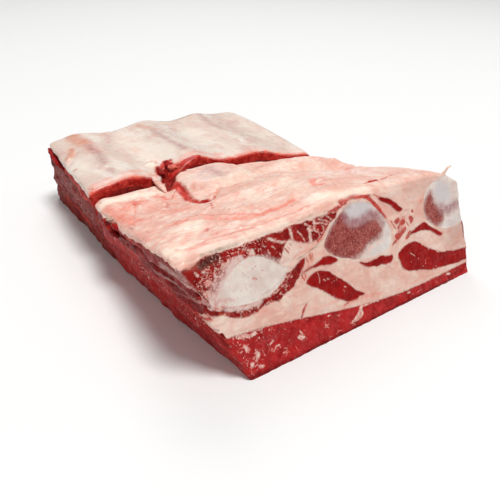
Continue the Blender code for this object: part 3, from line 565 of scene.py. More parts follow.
NOISE_TABLE = np.random.default_rng(7).uniform(-1.0, 1.0, 4096)
CELL_KEYS = (73856093, 19349663, 83492791)


def noise(places, size, seed=0):
    """Smooth lumps of about this size over places (one row each), from -1 to 1."""
    scaled = places / size + seed * 17.31
    cell = np.floor(scaled).astype(np.int64)
    part = scaled - cell
    part = part * part * (3 - 2 * part)
    total = np.zeros(len(places))
    for corner in itertools.product((0, 1), repeat=places.shape[1]):
        key = np.zeros(len(places), np.int64)
        weight = np.ones(len(places))
        for axis, step in enumerate(corner):
            key ^= (cell[:, axis] + step) * CELL_KEYS[axis]
            weight *= part[:, axis] if step else 1 - part[:, axis]
        total += weight * NOISE_TABLE[key % len(NOISE_TABLE)]
    return total


def rough(places, size, seed=0, layers=3):
    """Noise in layers, each half the size and strength of the one before."""
    return sum(noise(places, size / 2**i, seed + i) / 2**i for i in range(layers))


def line_distance(places, points):
    """Distance from each place to the broken line through the points."""
    nearest = np.full(len(places), 1e9)
    points = np.asarray(points, float)
    for start, end in zip(points, points[1:]):
        run = end - start
        share = np.clip(((places - start) @ run) / max(run @ run, 1e-9), 0.0, 1.0)
        nearest = np.minimum(nearest, np.hypot(*(places - start - share[:, None] * run).T))
    return nearest


def inside(places, points):
    """Whether each place is inside the closed outline."""
    found = np.zeros(len(places), bool)
    for (x0, z0), (x1, z1) in zip(points, points[1:] + points[:1]):
        if z0 != z1:
            crosses = (z0 > places[:, 1]) != (z1 > places[:, 1])
            found ^= crosses & (places[:, 0] < x0 + (places[:, 1] - z0) * (x1 - x0) / (z1 - z0))
    return found


def patch_distance(places, points):
    """Distance to the closed outline, negative inside it."""
    reach = line_distance(places, points + points[:1])
    return np.where(inside(places, points), -reach, reach)


def drawn_field(places, shapes, furthest=FAR_MARK):
    """Signed distance to the nearest line or patch, in millimetres, negative inside."""
    field = np.full(len(places), furthest)
    for half_width, points in shapes:
        spread = np.asarray(points, float)
        near = np.all((places > spread.min(0) - furthest) & (places < spread.max(0) + furthest), axis=1)
        if half_width is None:
            reach = patch_distance(places[near], smooth_outline(points, MARK_STEP))
        else:
            reach = line_distance(places[near], points) - half_width
        field[near] = np.minimum(field[near], reach)
    return field


def tint_field(places, strokes):
    """How strongly soft strokes colour each place, from 0 to 1."""
    field = np.zeros(len(places))
    for strength, radius, points in strokes:
        field = np.maximum(field, strength * bell(line_distance(places, points) / (1.25 * radius)))
    return field


def fold_field(places, folds):
    """How deep the folds go at each place; below zero they rise."""
    return sum(depth * bell(line_distance(places, points) / width) for depth, width, points in folds)


def curve_point(before, start, end, after, t):
    """The place at share t from start to end, on the smooth curve through all four."""
    return 0.5 * (2 * start + (end - before) * t + (2 * before - 5 * start + 4 * end - after) * t * t
                  + (3 * start - before - 3 * end + after) * t**3)


def smooth_outline(points, step):
    """Points about this far apart on the closed curve that runs smoothly through the outline's own."""
    found = []
    count = len(points)
    for i in range(count):
        four = [np.asarray(points[(i + k) % count], float) for k in (-1, 0, 1, 2)]
        parts = max(1, round(np.hypot(*(four[2] - four[1])) / step))
        found += [tuple(curve_point(*four, t)) for t in np.arange(parts) / parts]
    return found


def ragged(points, amount):
    """The outline with its edge frayed, the same way wherever two pieces share it."""
    places = np.asarray(points, float)
    shift_x = rough(places, 4.6, 3, 3)
    shift_z = rough(places, 4.6, 11, 3)
    return places + amount * np.stack([shift_x, shift_z], 1)


# How far from a block's edges its first rows of points stand.
LIPS = [0.5, 1.1, 1.8]


def steps(length, size):
    """Shares from 0 to 1 about this size apart, with the finer LIPS at each end."""
    inner = np.linspace(LIPS[-1], length - LIPS[-1], max(2, round((length - 2 * LIPS[-1]) / size)))
    return np.concatenate([[0.0], LIPS[:-1], inner, length - np.array(LIPS[:-1])[::-1], [length]]) / length


def block(shares, ends, floor, roof):
    """The closed skin of a block between two end faces, the slab's sides, a floor and a roof."""
    counts = [len(s) for s in shares]
    skin = np.ones(counts, bool)
    skin[1:-1, 1:-1, 1:-1] = False
    index = np.full(counts, -1)
    index[skin] = np.arange(skin.sum())
    share_x, share_y, share_z = (s[i] for s, i in zip(shares, np.nonzero(skin)))
    # The faces lean, so each coordinate needs the others: a rough guess is made right in five rounds.
    z = np.full(len(share_x), MIDDLE_HEIGHT)
    for _ in range(5):
        x_guess = blend(*ROUGH_SIDES, share_x)
        y = blend(ends[0](x_guess, z), ends[1](x_guess, z), share_y)
        x = blend(left_side(y, z), right_side(y, z), share_x)
        y = blend(ends[0](x, z), ends[1](x, z), share_y)
        z = blend(floor(x, y), roof(x, y), share_z)
    quads = []
    for sheet, turned in (
        (index[0], True), (index[-1], False), (index[:, 0], False), (index[:, -1], True),
        (index[:, :, 0], True), (index[:, :, -1], False),
    ):
        corners = [sheet[:-1, :-1], sheet[1:, :-1], sheet[1:, 1:], sheet[:-1, 1:]]
        quads.append(np.stack([c.ravel() for c in (corners[::-1] if turned else corners)], 1))
    quads = np.concatenate(quads)
    return np.stack([x, y, z], 1), np.concatenate([quads[:, [0, 1, 2]], quads[:, [0, 2, 3]]])


def loft(sections, ends, shares):
    """The closed skin through the sections, from one end face to the other."""
    rings = []
    for section, share in zip(sections, shares):
        x, z = section.T
        rings.append(np.stack([x, blend(ends[0](x, z), ends[1](x, z), share), z], 1))
    count = len(rings[0])
    here = np.arange(count)
    after = np.roll(here, -1)
    faces = []
    for ring in range(len(rings) - 1):
        a, b = here + ring * count, after + ring * count
        faces.append(np.stack([a, b, b + count], 1))
        faces.append(np.stack([a, b + count, a + count], 1))
    x, z = sections[0].T
    if np.sum(x * np.roll(z, -1) - np.roll(x, -1) * z) > 0:
        faces = [f[:, ::-1] for f in faces]
    points = np.concatenate(rings)
    last = (len(rings) - 1) * count
    return points, np.concatenate(faces), [list(range(count)), list(range(last, last + count))]


# Where along its strip a loft has sections: it reaches past both ends, so that the Booleans cut clean.
FRONT_SHARES = (-0.04, 0.0, 0.1, 0.22, 0.36, 0.5, 0.64, 0.78, 0.9, 1.0, 1.04)


def front_sections(outline, drift, shrink, fray):
    """Sections of a piece of the front strip: it sinks with the slab, drifts sideways and may shrink."""
    curve = np.asarray(smooth_outline(outline, OUTLINE_STEP))
    own = np.asarray(outline, float)
    middle = own.mean(0)
    curve = ragged(curve, fray)
    sections = []
    for share in FRONT_SHARES:
        run = ease(0.0, 1.0, max(0.0, share))
        size = np.array([blend(1.0, shrink[0], run), blend(1.0, shrink[1], run)])
        x, z = (middle + (curve - middle) * size).T
        y = blend(FRONT_Y + FRONT_LEAN * z, CUT_Y, share)
        sink = blend(1.0, CUT_SINK, run) * front_sag(x, y) / front_sag(x, FRONT_Y)
        sections.append(np.stack([x + drift * run, z * sink], 1))
    return sections


BACK_SHARES = (-0.04, 0.0, 0.06, 0.15, 0.3, 0.45, 0.6, 0.78, 0.94, 1.0, 1.04)
OVAL_POINTS = 72


def rib_sections(line, half_width, half_depth):
    """Oval sections of a back-strip rib, close under the membrane and tilted as the slab is."""
    turn = np.arange(OVAL_POINTS) * (2 * math.pi / OVAL_POINTS)
    sections = []
    for share in BACK_SHARES:
        x_mid, z_mid, tilt = rib_middle(line, half_depth, share)
        along = half_width * (1 + 0.06 * np.cos(3 * turn)) * np.cos(turn)
        sections.append(np.stack([x_mid + along, z_mid + tilt * along + half_depth * np.sin(turn)], 1))
    return sections


def rib_middle(line, half_depth, share):
    """The middle of a back-strip rib at this share of its run, and how far it tilts."""
    y = blend(CUT_Y, BACK_Y, np.clip(share, 0.02, 0.98))
    x_mid = along_back(line, y)
    z_mid = back_top(x_mid, y) - COVER_THICKNESS - RIB_COVER - half_depth
    return x_mid, z_mid, (back_sag(x_mid + 10, y) - back_sag(x_mid - 10, y)) / 20


def shell_object(name, shell):
    """A helper object from a skin, in plan millimetres."""
    points, triangles, caps = (*shell, [])[:3]
    mesh = bpy.data.meshes.new(name)
    mesh.from_pydata(points.tolist(), [], triangles.tolist() + caps)
    made = bpy.data.objects.new(name, mesh)
    bpy.context.scene.collection.objects.link(made)
    return made


def with_caps_turned(shell):
    """The loft with its end caps turned to match its sides."""
    points, triangles, caps = shell
    first, last = caps
    edges = {(a, b) for t in triangles[: 2 * len(first)].tolist() for a, b in zip(t, t[1:] + t[:1])}
    if (first[0], first[1]) in edges:
        first = first[::-1]
    else:
        last = last[::-1]
    return points, triangles, [first, last]


def carved(name, shell, cuts):
    """The shell after its Booleans, as points and triangles."""
    work = shell_object(name, shell)
    others = []
    for operation, other in cuts:
        cutter = shell_object(f"{name} cutter", other)
        modifier = work.modifiers.new(operation, "BOOLEAN")
        modifier.operation = operation
        modifier.solver = "MANIFOLD"
        modifier.object = cutter
        others.append(cutter)
    bpy.context.view_layer.update()
    ready = work.evaluated_get(bpy.context.evaluated_depsgraph_get())
    mesh = ready.to_mesh()
    points = np.empty(len(mesh.vertices) * 3, np.float32)
    mesh.vertices.foreach_get("co", points)
    mesh.calc_loop_triangles()
    triangles = np.empty(len(mesh.loop_triangles) * 3, np.int32)
    mesh.loop_triangles.foreach_get("vertices", triangles)
    ready.to_mesh_clear()
    for helper in (work, *others):
        data = helper.data
        bpy.data.objects.remove(helper, do_unlink=True)
        bpy.data.meshes.remove(data)
    return points.reshape(-1, 3).astype(float), triangles.reshape(-1, 3).astype(np.int64)


def split_edges(points, triangles, wanted):
    """Halves every edge that wanted() marks, and closes the triangles round it."""
    sides = np.sort(np.concatenate([triangles[:, [0, 1]], triangles[:, [1, 2]], triangles[:, [2, 0]]]), axis=1)
    edges, which = np.unique(sides, axis=0, return_inverse=True)
    which = which.ravel()
    middles = (points[edges[:, 0]] + points[edges[:, 1]]) / 2
    lengths = np.linalg.norm(points[edges[:, 0]] - points[edges[:, 1]], axis=1)
    marked = wanted(middles, lengths)
    new_index = np.full(len(edges), -1)
    new_index[marked] = len(points) + np.arange(marked.sum())
    points = np.concatenate([points, middles[marked]])
    count = len(triangles)
    mids = np.stack([new_index[which[:count]], new_index[which[count:2 * count]], new_index[which[2 * count:]]], 1)
    pattern = (mids >= 0) @ np.array([1, 2, 4])
    found = [triangles[pattern == 0]]
    for turn in range(3):
        corner = np.roll(triangles, -turn, axis=1)
        mid = np.roll(mids, -turn, axis=1)
        one = pattern == (1, 2, 4)[turn]
        a, b, c = corner[one].T
        m = mid[one][:, 0]
        found += [np.stack([a, m, c], 1), np.stack([m, b, c], 1)]
        two = pattern == (3, 6, 5)[turn]
        a, b, c = corner[two].T
        m, n = mid[two][:, 0], mid[two][:, 1]
        found += [np.stack([m, b, n], 1), np.stack([a, m, n], 1), np.stack([a, n, c], 1)]
    full = pattern == 7
    a, b, c = triangles[full].T
    m, n, o = mids[full].T
    found += [np.stack(s, 1) for s in ((a, m, o), (m, b, n), (o, n, c), (m, n, o))]
    return points, np.concatenate(found)


def welded(points, triangles, hair=0.001):
    """Joins the points that lie a hair apart, and drops the triangles that this closes up."""
    for shift in (0.0, 0.25, 0.5, 0.75):
        cells = np.round(points / hair + shift).astype(np.int64)
        _, first, joined = np.unique(cells, axis=0, return_index=True, return_inverse=True)
        points, triangles = points[first], joined.ravel()[triangles]
    one, two, three = triangles.T
    triangles = triangles[(one != two) & (two != three) & (three != one)]
    _, same, times = np.unique(np.sort(triangles, axis=1), axis=0, return_inverse=True, return_counts=True)
    used, triangles = np.unique(triangles[times[same.ravel()] == 1], return_inverse=True)
    return points[used], triangles.reshape(-1, 3)


def face_depth(places, strip):
    """Distance in from the strip's visible faces: its front, its back, its left, its right and its top."""
    x, y, z = places.T
    if strip == "front":
        ends, roof = (front_face, cut_front), front_top
    else:
        ends, roof = (cut_back, back_face), back_top
    lean = FRONT_LEAN if strip == "front" else 0.0
    return {
        "front": (y - ends[0](x, z)) / math.hypot(1, lean),
        "back": ends[1](x, z) - y,
        "left": (x - left_side(y, z)) / np.hypot(1, side_slope(y)),
        "right": right_side(y, z) - x,
        "top": roof(x, y) - z,
    }


def outward(places, strip):
    """The way out of each of those faces."""
    count = len(places)
    lean = FRONT_LEAN if strip == "front" else 0.0
    slope = side_slope(places[:, 1])
    still = np.zeros(count)
    one = np.ones(count)
    ways = {
        "front": np.stack([still, -one, lean * one], 1), "back": np.stack([still, one, still], 1),
        "left": np.stack([-one, still, -slope], 1), "right": np.stack([one, still, still], 1),
        "top": np.stack([still, still, one], 1),
    }
    return {name: way / np.linalg.norm(way, axis=1)[:, None] for name, way in ways.items()}


# Which edges are rounded, as (face, face, radius).
ROUNDED = {
    "front": (("front", "top", 1.6), ("left", "top", 2.2), ("front", "left", 1.6), ("front", "right", 1.6),
              ("right", "top", 3.0), ("back", "top", 2.0)),
    "back": (("front", "top", 1.2), ("left", "top", 1.5), ("right", "top", 1.8), ("back", "top", 1.5),
             ("front", "left", 1.5), ("back", "left", 1.5), ("back", "right", 1.5)),
}


def shaped(places, strip, calm, proud):
    """The places with the strip's edges rounded and the relief of its faces added.

    calm is 1 where a piece is smooth, such as on bone, and 0 where it is lumpy. proud is how far it
    stands out of the sawn face. Each lump below has a height and a size in millimetres.
    """
    ways = outward(places, strip)
    moved = places.copy()
    for one, two, radius in ROUNDED[strip]:
        depth = face_depth(moved, strip)
        in_one = np.clip(radius - depth[one], 0.0, radius)
        in_two = np.clip(radius - depth[two], 0.0, radius)
        reach = np.hypot(in_one, in_two)
        back = np.clip(reach - radius, 0.0, None) / np.maximum(reach, 1e-9)
        moved -= ways[one] * (in_one * back)[:, None] + ways[two] * (in_two * back)[:, None]
    depth = face_depth(moved, strip)
    share = {name: 1 - ease(0.3, 2.4, value) for name, value in depth.items()}
    x, y, z = places.T
    lumpy = 1 - calm
    front = proud + 0.22 * rough(places, 7.0, 21, 3) + lumpy * 0.28 * rough(places, 2.6, 25, 2)
    side_places = np.stack([x, 0.35 * y, z], 1)
    layered = 0.9 * rough(side_places, 5.0, 31, 3) + 0.5 * noise(side_places, 1.8, 35)
    side = layered - fold_field(np.stack([y, z], 1), SIDE_FOLDS)
    top_places = np.stack([0.6 * x, y, 0 * z], 1)
    wrinkled = 0.35 + 0.65 * ease(-10, -60, y) * (1 - ease(-40, 20, x))
    if strip == "front":
        top = 0.45 * rough(places, 12.0, 41, 3) + 0.4 * wrinkled * rough(top_places, 2.8, 45, 2)
    else:
        top = 0.3 * rough(np.stack([x, 0.4 * y, 0 * z], 1), 9.0, 43, 2)
    top = top - fold_field(np.stack([x, y], 1), TOP_FOLDS)
    right = 0.8 * rough(side_places, 6.0, 51, 3)
    if strip == "front":
        right = right + 1.2 * ease(8, 18, z) - 1.4 * (1 - ease(1, 8, z)) + 1.5 * ease(34, 42, z)
    back = 0.3 * rough(places, 5.0, 61, 3)
    for name, amount in (("front", front), ("left", side), ("top", top), ("right", right), ("back", back)):
        moved += ways[name] * (share[name] * amount)[:, None]
    moved[:, 2] = np.where(z < 0.01, 0.0, np.maximum(moved[:, 2], 0.0))
    return moved


def scattered(crumbs):
    """Short lines strewn over ovals, for crumbs too small and too many to draw one by one."""
    chance = np.random.default_rng(19)
    strewn = []
    for count, middle, half, half_length, half_width in crumbs:
        for _ in range(count):
            turn, reach = chance.uniform(0, 2 * math.pi), math.sqrt(chance.uniform())
            spot = np.array(middle) + np.array(half) * reach * np.array([math.cos(turn), math.sin(turn)])
            lie = chance.uniform(0, math.pi)
            run = half_length * chance.uniform(0.3, 1.3) * np.array([math.cos(lie), math.sin(lie)])
            strewn.append((half_width * chance.uniform(0.5, 1.2), [tuple(spot - run), tuple(spot + run)]))
    return strewn


PALE_IN_MEAT += scattered(CRUMBS)
DRAWN = ("red_edge", "pale_edge", "marrow_edge", "vein_edge")
TINTED = (
    "milk_and_highlight", "plum", "scorch", "crease_shade", "amber", "blush", "ash_and_shade", "silver", "film", "cream", "blood", "pale",
    "face_shade", "gristle", "fleck_and_glint",
)


def own_edges(places, name):
    """Distance past the edges that a front piece shares: to red in fat and bone, to pale in meat."""
    on_face = places[:, [0, 2]]

    def past(pieces):
        reach = np.full(len(places), FAR_EDGE)
        for outline, _, _, fray in pieces:
            curve = ragged(smooth_outline(outline, OUTLINE_STEP), fray).tolist()
            reach = np.minimum(reach, patch_distance(on_face, curve))
        return reach
    above_lean = places[:, 2] - front_lean_top(places[:, 0], places[:, 1])
    meats = [*FRONT_MUSCLES.values(), *RIB_WRAP.values()]
    far = np.full(len(places), FAR_EDGE)
    if name == "front_fat":
        return np.minimum(past(meats), above_lean) - 0.12, far
    if name == "front_lean":
        return far, -above_lean - 0.1
    if name in FRONT_RIBS:
        rind = -past([FRONT_RIBS[name]])
        return (rind - 0.1 if name == "front_rib_left" else far), far
    own = -past([{**FRONT_MUSCLES, **RIB_WRAP}[name]])
    if name in RIB_WRAP:
        own = np.minimum(own, past([FRONT_RIBS["front_rib_left"]]) - 0.2)
    return far, own - 0.1


def painted(places, strip, name):
    """The masks and distances that the materials read, one value for each place."""
    depth = face_depth(places, strip)
    near = {name: 1 - ease(0.6, 2.2, value) for name, value in depth.items()}
    on_face, on_top, on_side = places[:, [0, 2]], places[:, :2], places[:, 1:]
    masks = {}
    top_share = near["top"] * (1 - near["front"] * (1 - near["top"]))
    for tint in TINTED:
        value = np.zeros(len(places))
        if strip == "front" and tint in FACE_TINTS:
            value = np.maximum(value, near["front"] * tint_field(on_face, FACE_TINTS[tint]))
        if tint in TOP_TINTS:
            value = np.maximum(value, top_share * (1 - 0.7 * near["left"]) * tint_field(on_top, TOP_TINTS[tint]))
        if tint in SIDE_TINTS:
            value = np.maximum(value, near["left"] * (1 - near["top"]) * tint_field(on_side, SIDE_TINTS[tint]))
        masks[tint] = value
    masks.update({edge: np.full(len(places), FAR_MARK) for edge in DRAWN})
    if strip == "front":
        away = 3.0 * (1 - near["front"])
        close = near["front"] > 0.3
        to_red, to_pale = own_edges(places[close], name)
        masks["red_edge"][close] = np.minimum(drawn_field(on_face[close], RED_IN_FAT), to_red)
        masks["pale_edge"][close] = np.minimum(drawn_field(on_face[close], PALE_IN_MEAT), to_pale)
        masks["sawn"] = near["front"]
        masks["marrow_edge"][close] = drawn_field(on_face[close], MARROW)
        for edge in ("red_edge", "pale_edge", "marrow_edge"):
            masks[edge] += away
        if name == "front_fat":
            close = near["top"] > 0.3
            masks["vein_edge"][close] = drawn_field(on_top[close], TOP_VEINS)
    masks["pale_edge"] = np.minimum(masks["pale_edge"], FAR_MARK - 6.4 * masks.pop("pale"))
    return masks, near, depth


def film_share(places, depth):
    """Where a dark skin of meat lies over the fat on the sides: 1 there, and 0 on the fat itself."""
    x, y, z = places.T
    side = np.stack([y, z], 1)
    wedge = patch_distance(side, SEAM_WEDGE)
    fray = 0.9 * rough(np.stack([0 * x, y, z], 1), 3.0, 71, 3)
    lip = blend(1.3, 2.6, ease(-60, 15, y)) + fray
    below = ease(lip - 0.35, lip + 0.35, depth["top"])
    clear = ease(-0.3, 0.5, wedge + 0.5 * fray)
    left = (1 - ease(0.8, 2.0, depth["left"])) * below * clear
    patches = ease(0.0, 0.35, rough(np.stack([0 * x, 0.5 * y, z], 1), 7.0, 75, 3) + 0.1)
    right = (1 - ease(0.8, 2.0, depth["right"])) * ease(3.5, 5.0, depth["top"]) * patches
    return np.maximum(left, 0.9 * right)


def made_piece(name, points, triangles, masks, material):
    """The object of a skin given in plan millimetres, with its masks as point values."""
    mesh = bpy.data.meshes.new(name)
    mesh.from_pydata(((points - PLAN_CENTRE) * MM).tolist(), [], triangles.tolist())
    mesh.shade_smooth()
    for mask, values in masks.items():
        attribute = mesh.attributes.new(mask, "FLOAT", "POINT")
        attribute.data.foreach_set("value", np.broadcast_to(values, len(points)).astype(np.float32))
    mesh.materials.append(MATERIALS[material])
    made = bpy.data.objects.new(name, mesh)
    bpy.context.scene.collection.objects.link(made)
    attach(made, "root")
    return made


def finished_piece(name, points, triangles, strip, material, slot, calm=0.0, proud=0.0, extra=None):
    """Refines, paints and shapes a carved skin, and puts its object in the place of the solid."""
    if strip == "front":
        def on_face(middles):
            return (middles[:, 1] - front_face(0, middles[:, 2])) < SKIN

        def coarse(middles, lengths):
            return on_face(middles) & (lengths > FACE_DETAIL)

        def near_lines(middles, lengths):
            face = on_face(middles)
            drawn = RED_IN_FAT if material in ("fat", "bone") else PALE_IN_MEAT
            found = np.zeros(len(middles), bool)
            field = drawn_field(middles[face][:, [0, 2]], drawn)
            to_red, to_pale = own_edges(middles[face], name)
            field = np.minimum(field, np.minimum(to_red, to_pale))
            found[face] = (np.abs(field) < 1.0) & (lengths[face] > LINE_DETAIL)
            if material == "fat":
                top = (front_top(middles[:, 0], middles[:, 1]) - middles[:, 2] < SKIN) & ~face
                field = drawn_field(middles[top][:, :2], TOP_VEINS)
                found[top] = (np.abs(field) < 1.3) & (lengths[top] > 1.4 * LINE_DETAIL)
            return found
        points, triangles = split_edges(points, triangles, coarse)
        points, triangles = split_edges(points, triangles, coarse)
        points, triangles = split_edges(points, triangles, near_lines)
    points, triangles = welded(points, triangles)
    masks, near, depth = painted(points, strip, name)
    if material in ("fat", "membrane"):
        masks["film"] = np.maximum(masks["film"], film_share(points, depth))
    if extra:
        masks.update(extra(points, masks, near, depth))
    made = made_piece(f"{name}_fine", shaped(points, strip, calm, proud), triangles, masks, material)
    made.data.set_sharp_from_angle(angle=math.radians(55))
    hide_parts(name)


def tone(red, green, blue):
    """A colour given as it looks on a screen, as the shader takes it."""
    linear = [((c / 255 + 0.055) / 1.055) ** 2.4 if c > 10 else c / 255 / 12.92 for c in (red, green, blue)]
    return (*linear, 1.0)


class Nodes:
    """Lays out a node tree, one short call for each node."""

    def __init__(self, tree):
        self.tree = tree
        self.where = None

    def add(self, kind, inputs=(), **settings):
        node = self.tree.nodes.new(f"ShaderNode{kind}")
        for key, value in settings.items():
            setattr(node, key, value)
        for key, value in dict(inputs).items():
            self.feed(node.inputs[key], value)
        return node

    def feed(self, socket, value):
        if isinstance(value, bpy.types.NodeSocket):
            self.tree.links.new(value, socket)
        else:
            socket.default_value = value

    def mask(self, name):
        return self.add("Attribute", attribute_name=name, attribute_type="GEOMETRY").outputs["Fac"]

    def math(self, operation, first, second):
        return self.add("Math", {0: first, 1: second}, operation=operation).outputs[0]

    def plus(self, first, second):
        return self.math("ADD", first, second)

    def times(self, first, second):
        return self.math("MULTIPLY", first, second)

    def mix(self, share, first, second):
        return self.add("Mix", {0: share, 6: first, 7: second}, data_type="RGBA").outputs[2]

    def band(self, value, low, high, start=0.0, end=1.0):
        """Runs smoothly from start to end as value goes from low to high."""
        inputs = {"Value": value, "From Min": low, "From Max": high, "To Min": start, "To Max": end}
        return self.add("MapRange", inputs, interpolation_type="SMOOTHSTEP").outputs[0]

    def place(self, stretch=(1.0, 1.0, 1.0)):
        if self.where is None:
            self.where = self.add("TexCoord").outputs["Object"]
        if tuple(stretch) == (1.0, 1.0, 1.0):
            return self.where
        return self.add("Mapping", {"Vector": self.where, "Scale": stretch}).outputs[0]

    def noise(self, size, detail, rough=0.55, bend=0.0, stretch=(1.0, 1.0, 1.0)):
        """Noise with lumps of about this size in millimetres, from 0 to 1 round a middle of 0.5."""
        scale = size if isinstance(size, bpy.types.NodeSocket) else 1000.0 / size
        inputs = {"Vector": self.place(stretch), "Scale": scale, "Detail": detail,
                  "Roughness": rough, "Distortion": bend}
        return self.add("TexNoise", inputs).outputs["Fac"]

    def group(self, tree, inputs=()):
        return self.add("Group", inputs, node_tree=tree)

    def drawn(self, mask, softness, fray, fray_scale):
        """The drawn edge of a distance mask, with its softness and fray in millimetres."""
        inputs = {"Distance": self.mask(mask), "Softness": softness, "Fray": fray, "Fray Scale": fray_scale}
        return self.group(DRAWN_EDGE, inputs).outputs["Mask"]

    def tinted(self, colour, fineness=0.5):
        return self.group(TINTS, {"Colour": colour, "Fineness": fineness}).outputs["Colour"]


def new_group(name, inputs, outputs):
    """An effect with named sockets, as (name, kind, value) for an input and (name, kind) for an output."""
    tree = bpy.data.node_groups.new(name, "ShaderNodeTree")
    for label, kind, value in inputs:
        socket = tree.interface.new_socket(label, in_out="INPUT", socket_type=f"NodeSocket{kind}")
        socket.default_value = value
    for label, kind in outputs:
        tree.interface.new_socket(label, in_out="OUTPUT", socket_type=f"NodeSocket{kind}")
    source = tree.nodes.new("NodeGroupInput").outputs
    sink = tree.nodes.new("NodeGroupOutput").inputs
    return Nodes(tree), source, sink


def make_drawn_edge():
    """A crisp but frayed mask inside a drawn outline, from its distance in millimetres."""
    nodes, source, sink = new_group("drawn edge", [
        ("Distance", "Float", 6.0), ("Softness", "Float", 0.25), ("Fray", "Float", 0.6),
        ("Fray Scale", "Float", 700.0),
    ], [("Mask", "Float")])
    wobble = nodes.math("SUBTRACT", nodes.noise(source["Fray Scale"], 4.0, 0.65), 0.5)
    moved = nodes.plus(source["Distance"], nodes.times(wobble, source["Fray"]))
    share = nodes.math("DIVIDE", moved, source["Softness"])
    nodes.feed(sink["Mask"], nodes.band(share, 1.0, -1.0))
    return nodes.tree


def make_threads():
    """Threads that run through meat or fat as a bent net, broken up in places."""
    nodes, source, sink = new_group("threads", [
        ("Scale", "Float", 300.0), ("Width", "Float", 0.05), ("Cover", "Float", 0.5),
        ("Stretch", "Vector", (1.0, 1.0, 1.0)),
    ], [("Mask", "Float")])
    place = nodes.add("VectorMath", {0: nodes.place(), 1: source["Stretch"]}, operation="MULTIPLY").outputs[0]
    bend = nodes.add("TexNoise", {"Vector": place, "Scale": source["Scale"], "Detail": 4.0}).outputs["Color"]
    shift = nodes.add("VectorMath", {0: bend, 1: (0.0042, 0.0042, 0.0042)}, operation="MULTIPLY").outputs[0]
    bent = nodes.add("VectorMath", {0: place, 1: shift}, operation="ADD").outputs[0]
    cells = nodes.add("TexVoronoi", {"Vector": bent, "Scale": source["Scale"]}, feature="DISTANCE_TO_EDGE")
    vary = nodes.band(nodes.noise(2.2, 2.0), 0.3, 0.7, 0.35, 1.3)
    width = nodes.times(source["Width"], vary)
    line = nodes.band(nodes.math("DIVIDE", cells.outputs["Distance"], width), 1.0, 0.2)
    cover = nodes.band(nodes.plus(nodes.noise(5.0, 2.0, 0.6), source["Cover"]), 0.92, 1.12)
    nodes.feed(sink["Mask"], nodes.times(line, cover))
    return nodes.tree


def make_grain():
    """The grain of cut meat: short streaks along the strip and a fine crumb across it."""
    nodes, source, sink = new_group("meat grain", [("Scale", "Float", 500.0)],
                                    [("Grain", "Float"), ("Crumb", "Float")])
    streaks = nodes.noise(source["Scale"], 4.0, 0.65, 0.6, stretch=(1.0, 0.22, 0.8))
    nodes.feed(sink["Grain"], nodes.band(streaks, 0.3, 0.7))
    nodes.feed(sink["Crumb"], nodes.noise(1.1, 3.0, 0.6, 0.3))
    return nodes.tree


def make_tints():
    """Lays the soft tints over a colour: blushes, cream, tears, dried patches, silver skin, and painted shade and
    glints.
    """
    nodes, source, sink = new_group("surface tints", [
        ("Colour", "Color", (0.8, 0.8, 0.8, 1.0)), ("Fineness", "Float", 0.5),
    ], [("Colour", "Color")])
    colour = source["Colour"]
    soft = nodes.math("SUBTRACT", nodes.noise(5.0, 4.0, 0.62, 0.8), 0.5)
    fine = nodes.math("SUBTRACT", nodes.noise(1.7, 4.0, 0.65, 0.8, stretch=(1.0, 0.5, 1.0)), 0.5)
    speckle = nodes.times(fine, source["Fineness"])
    for name, tint, spread, low, high in (
        ("cream", tone(253, 232, 213), 1.6, 0.12, 1.0), ("gristle", tone(228, 198, 190), 2.6, 0.2, 0.9),
        # blush is salmon pink, and in one dimple on top it is painted shade.
        ("blush", tone(238, 128, 108), 1.8, 0.12, 1.25),
        ("amber", tone(216, 146, 120), 1.8, 0.12, 1.3), ("plum", tone(160, 98, 104), 1.5, 0.12, 1.25),
        # ash is partly the meat's own grey and partly painted shade.
        ("ash_and_shade", tone(156, 134, 112), 2.2, 0.2, 1.3),
    ):
        own = nodes.mask(name)
        share = nodes.plus(own, nodes.times(own, nodes.times(soft, spread)))
        share = nodes.plus(share, nodes.times(nodes.times(own, spread), speckle))
        colour = nodes.mix(nodes.band(share, low, high), colour, tint)
    meat = nodes.mix(nodes.band(fine, -0.2, 0.25), tone(104, 14, 14), tone(166, 40, 34))
    torn = nodes.mix(nodes.band(soft, -0.15, 0.2), tone(168, 24, 22), tone(222, 78, 66))
    skin = nodes.mix(nodes.band(fine, -0.25, 0.25), tone(150, 80, 78), tone(204, 164, 156))
    dried = nodes.mix(nodes.band(fine, -0.16, 0.22), tone(36, 12, 10), tone(130, 80, 68))
    # Pale specks of crumbs, partly painted glints of wet highlights.
    specks = nodes.plus(nodes.noise(1.2, 3.0, 0.6, 0.6), nodes.times(nodes.mask("fleck_and_glint"), 0.14))
    for name, tint, spread, low, high in (
        ("film", meat, 0.5, 0.32, 0.62), ("blood", torn, 0.8, 0.2, 0.8), ("silver", skin, 0.35, 0.2, 0.85),
        # crease paints a nearly black shade into the creases.
        ("crease_shade", tone(58, 10, 12), 0.5, 0.3, 0.9), ("scorch", dried, 1.5, 0.3, 1.0),
    ):
        share = nodes.plus(nodes.mask(name), nodes.times(fine, spread))
        share = nodes.times(nodes.band(share, low, high), nodes.band(nodes.mask(name), 0.02, 0.2))
        colour = nodes.mix(share, colour, tint)
    share = nodes.times(nodes.band(specks, 0.63, 0.69), nodes.band(nodes.mask("fleck_and_glint"), 0.02, 0.2))
    colour = nodes.mix(nodes.times(share, 0.85), colour, tone(242, 200, 188))
    nodes.feed(sink["Colour"], colour)
    return nodes.tree


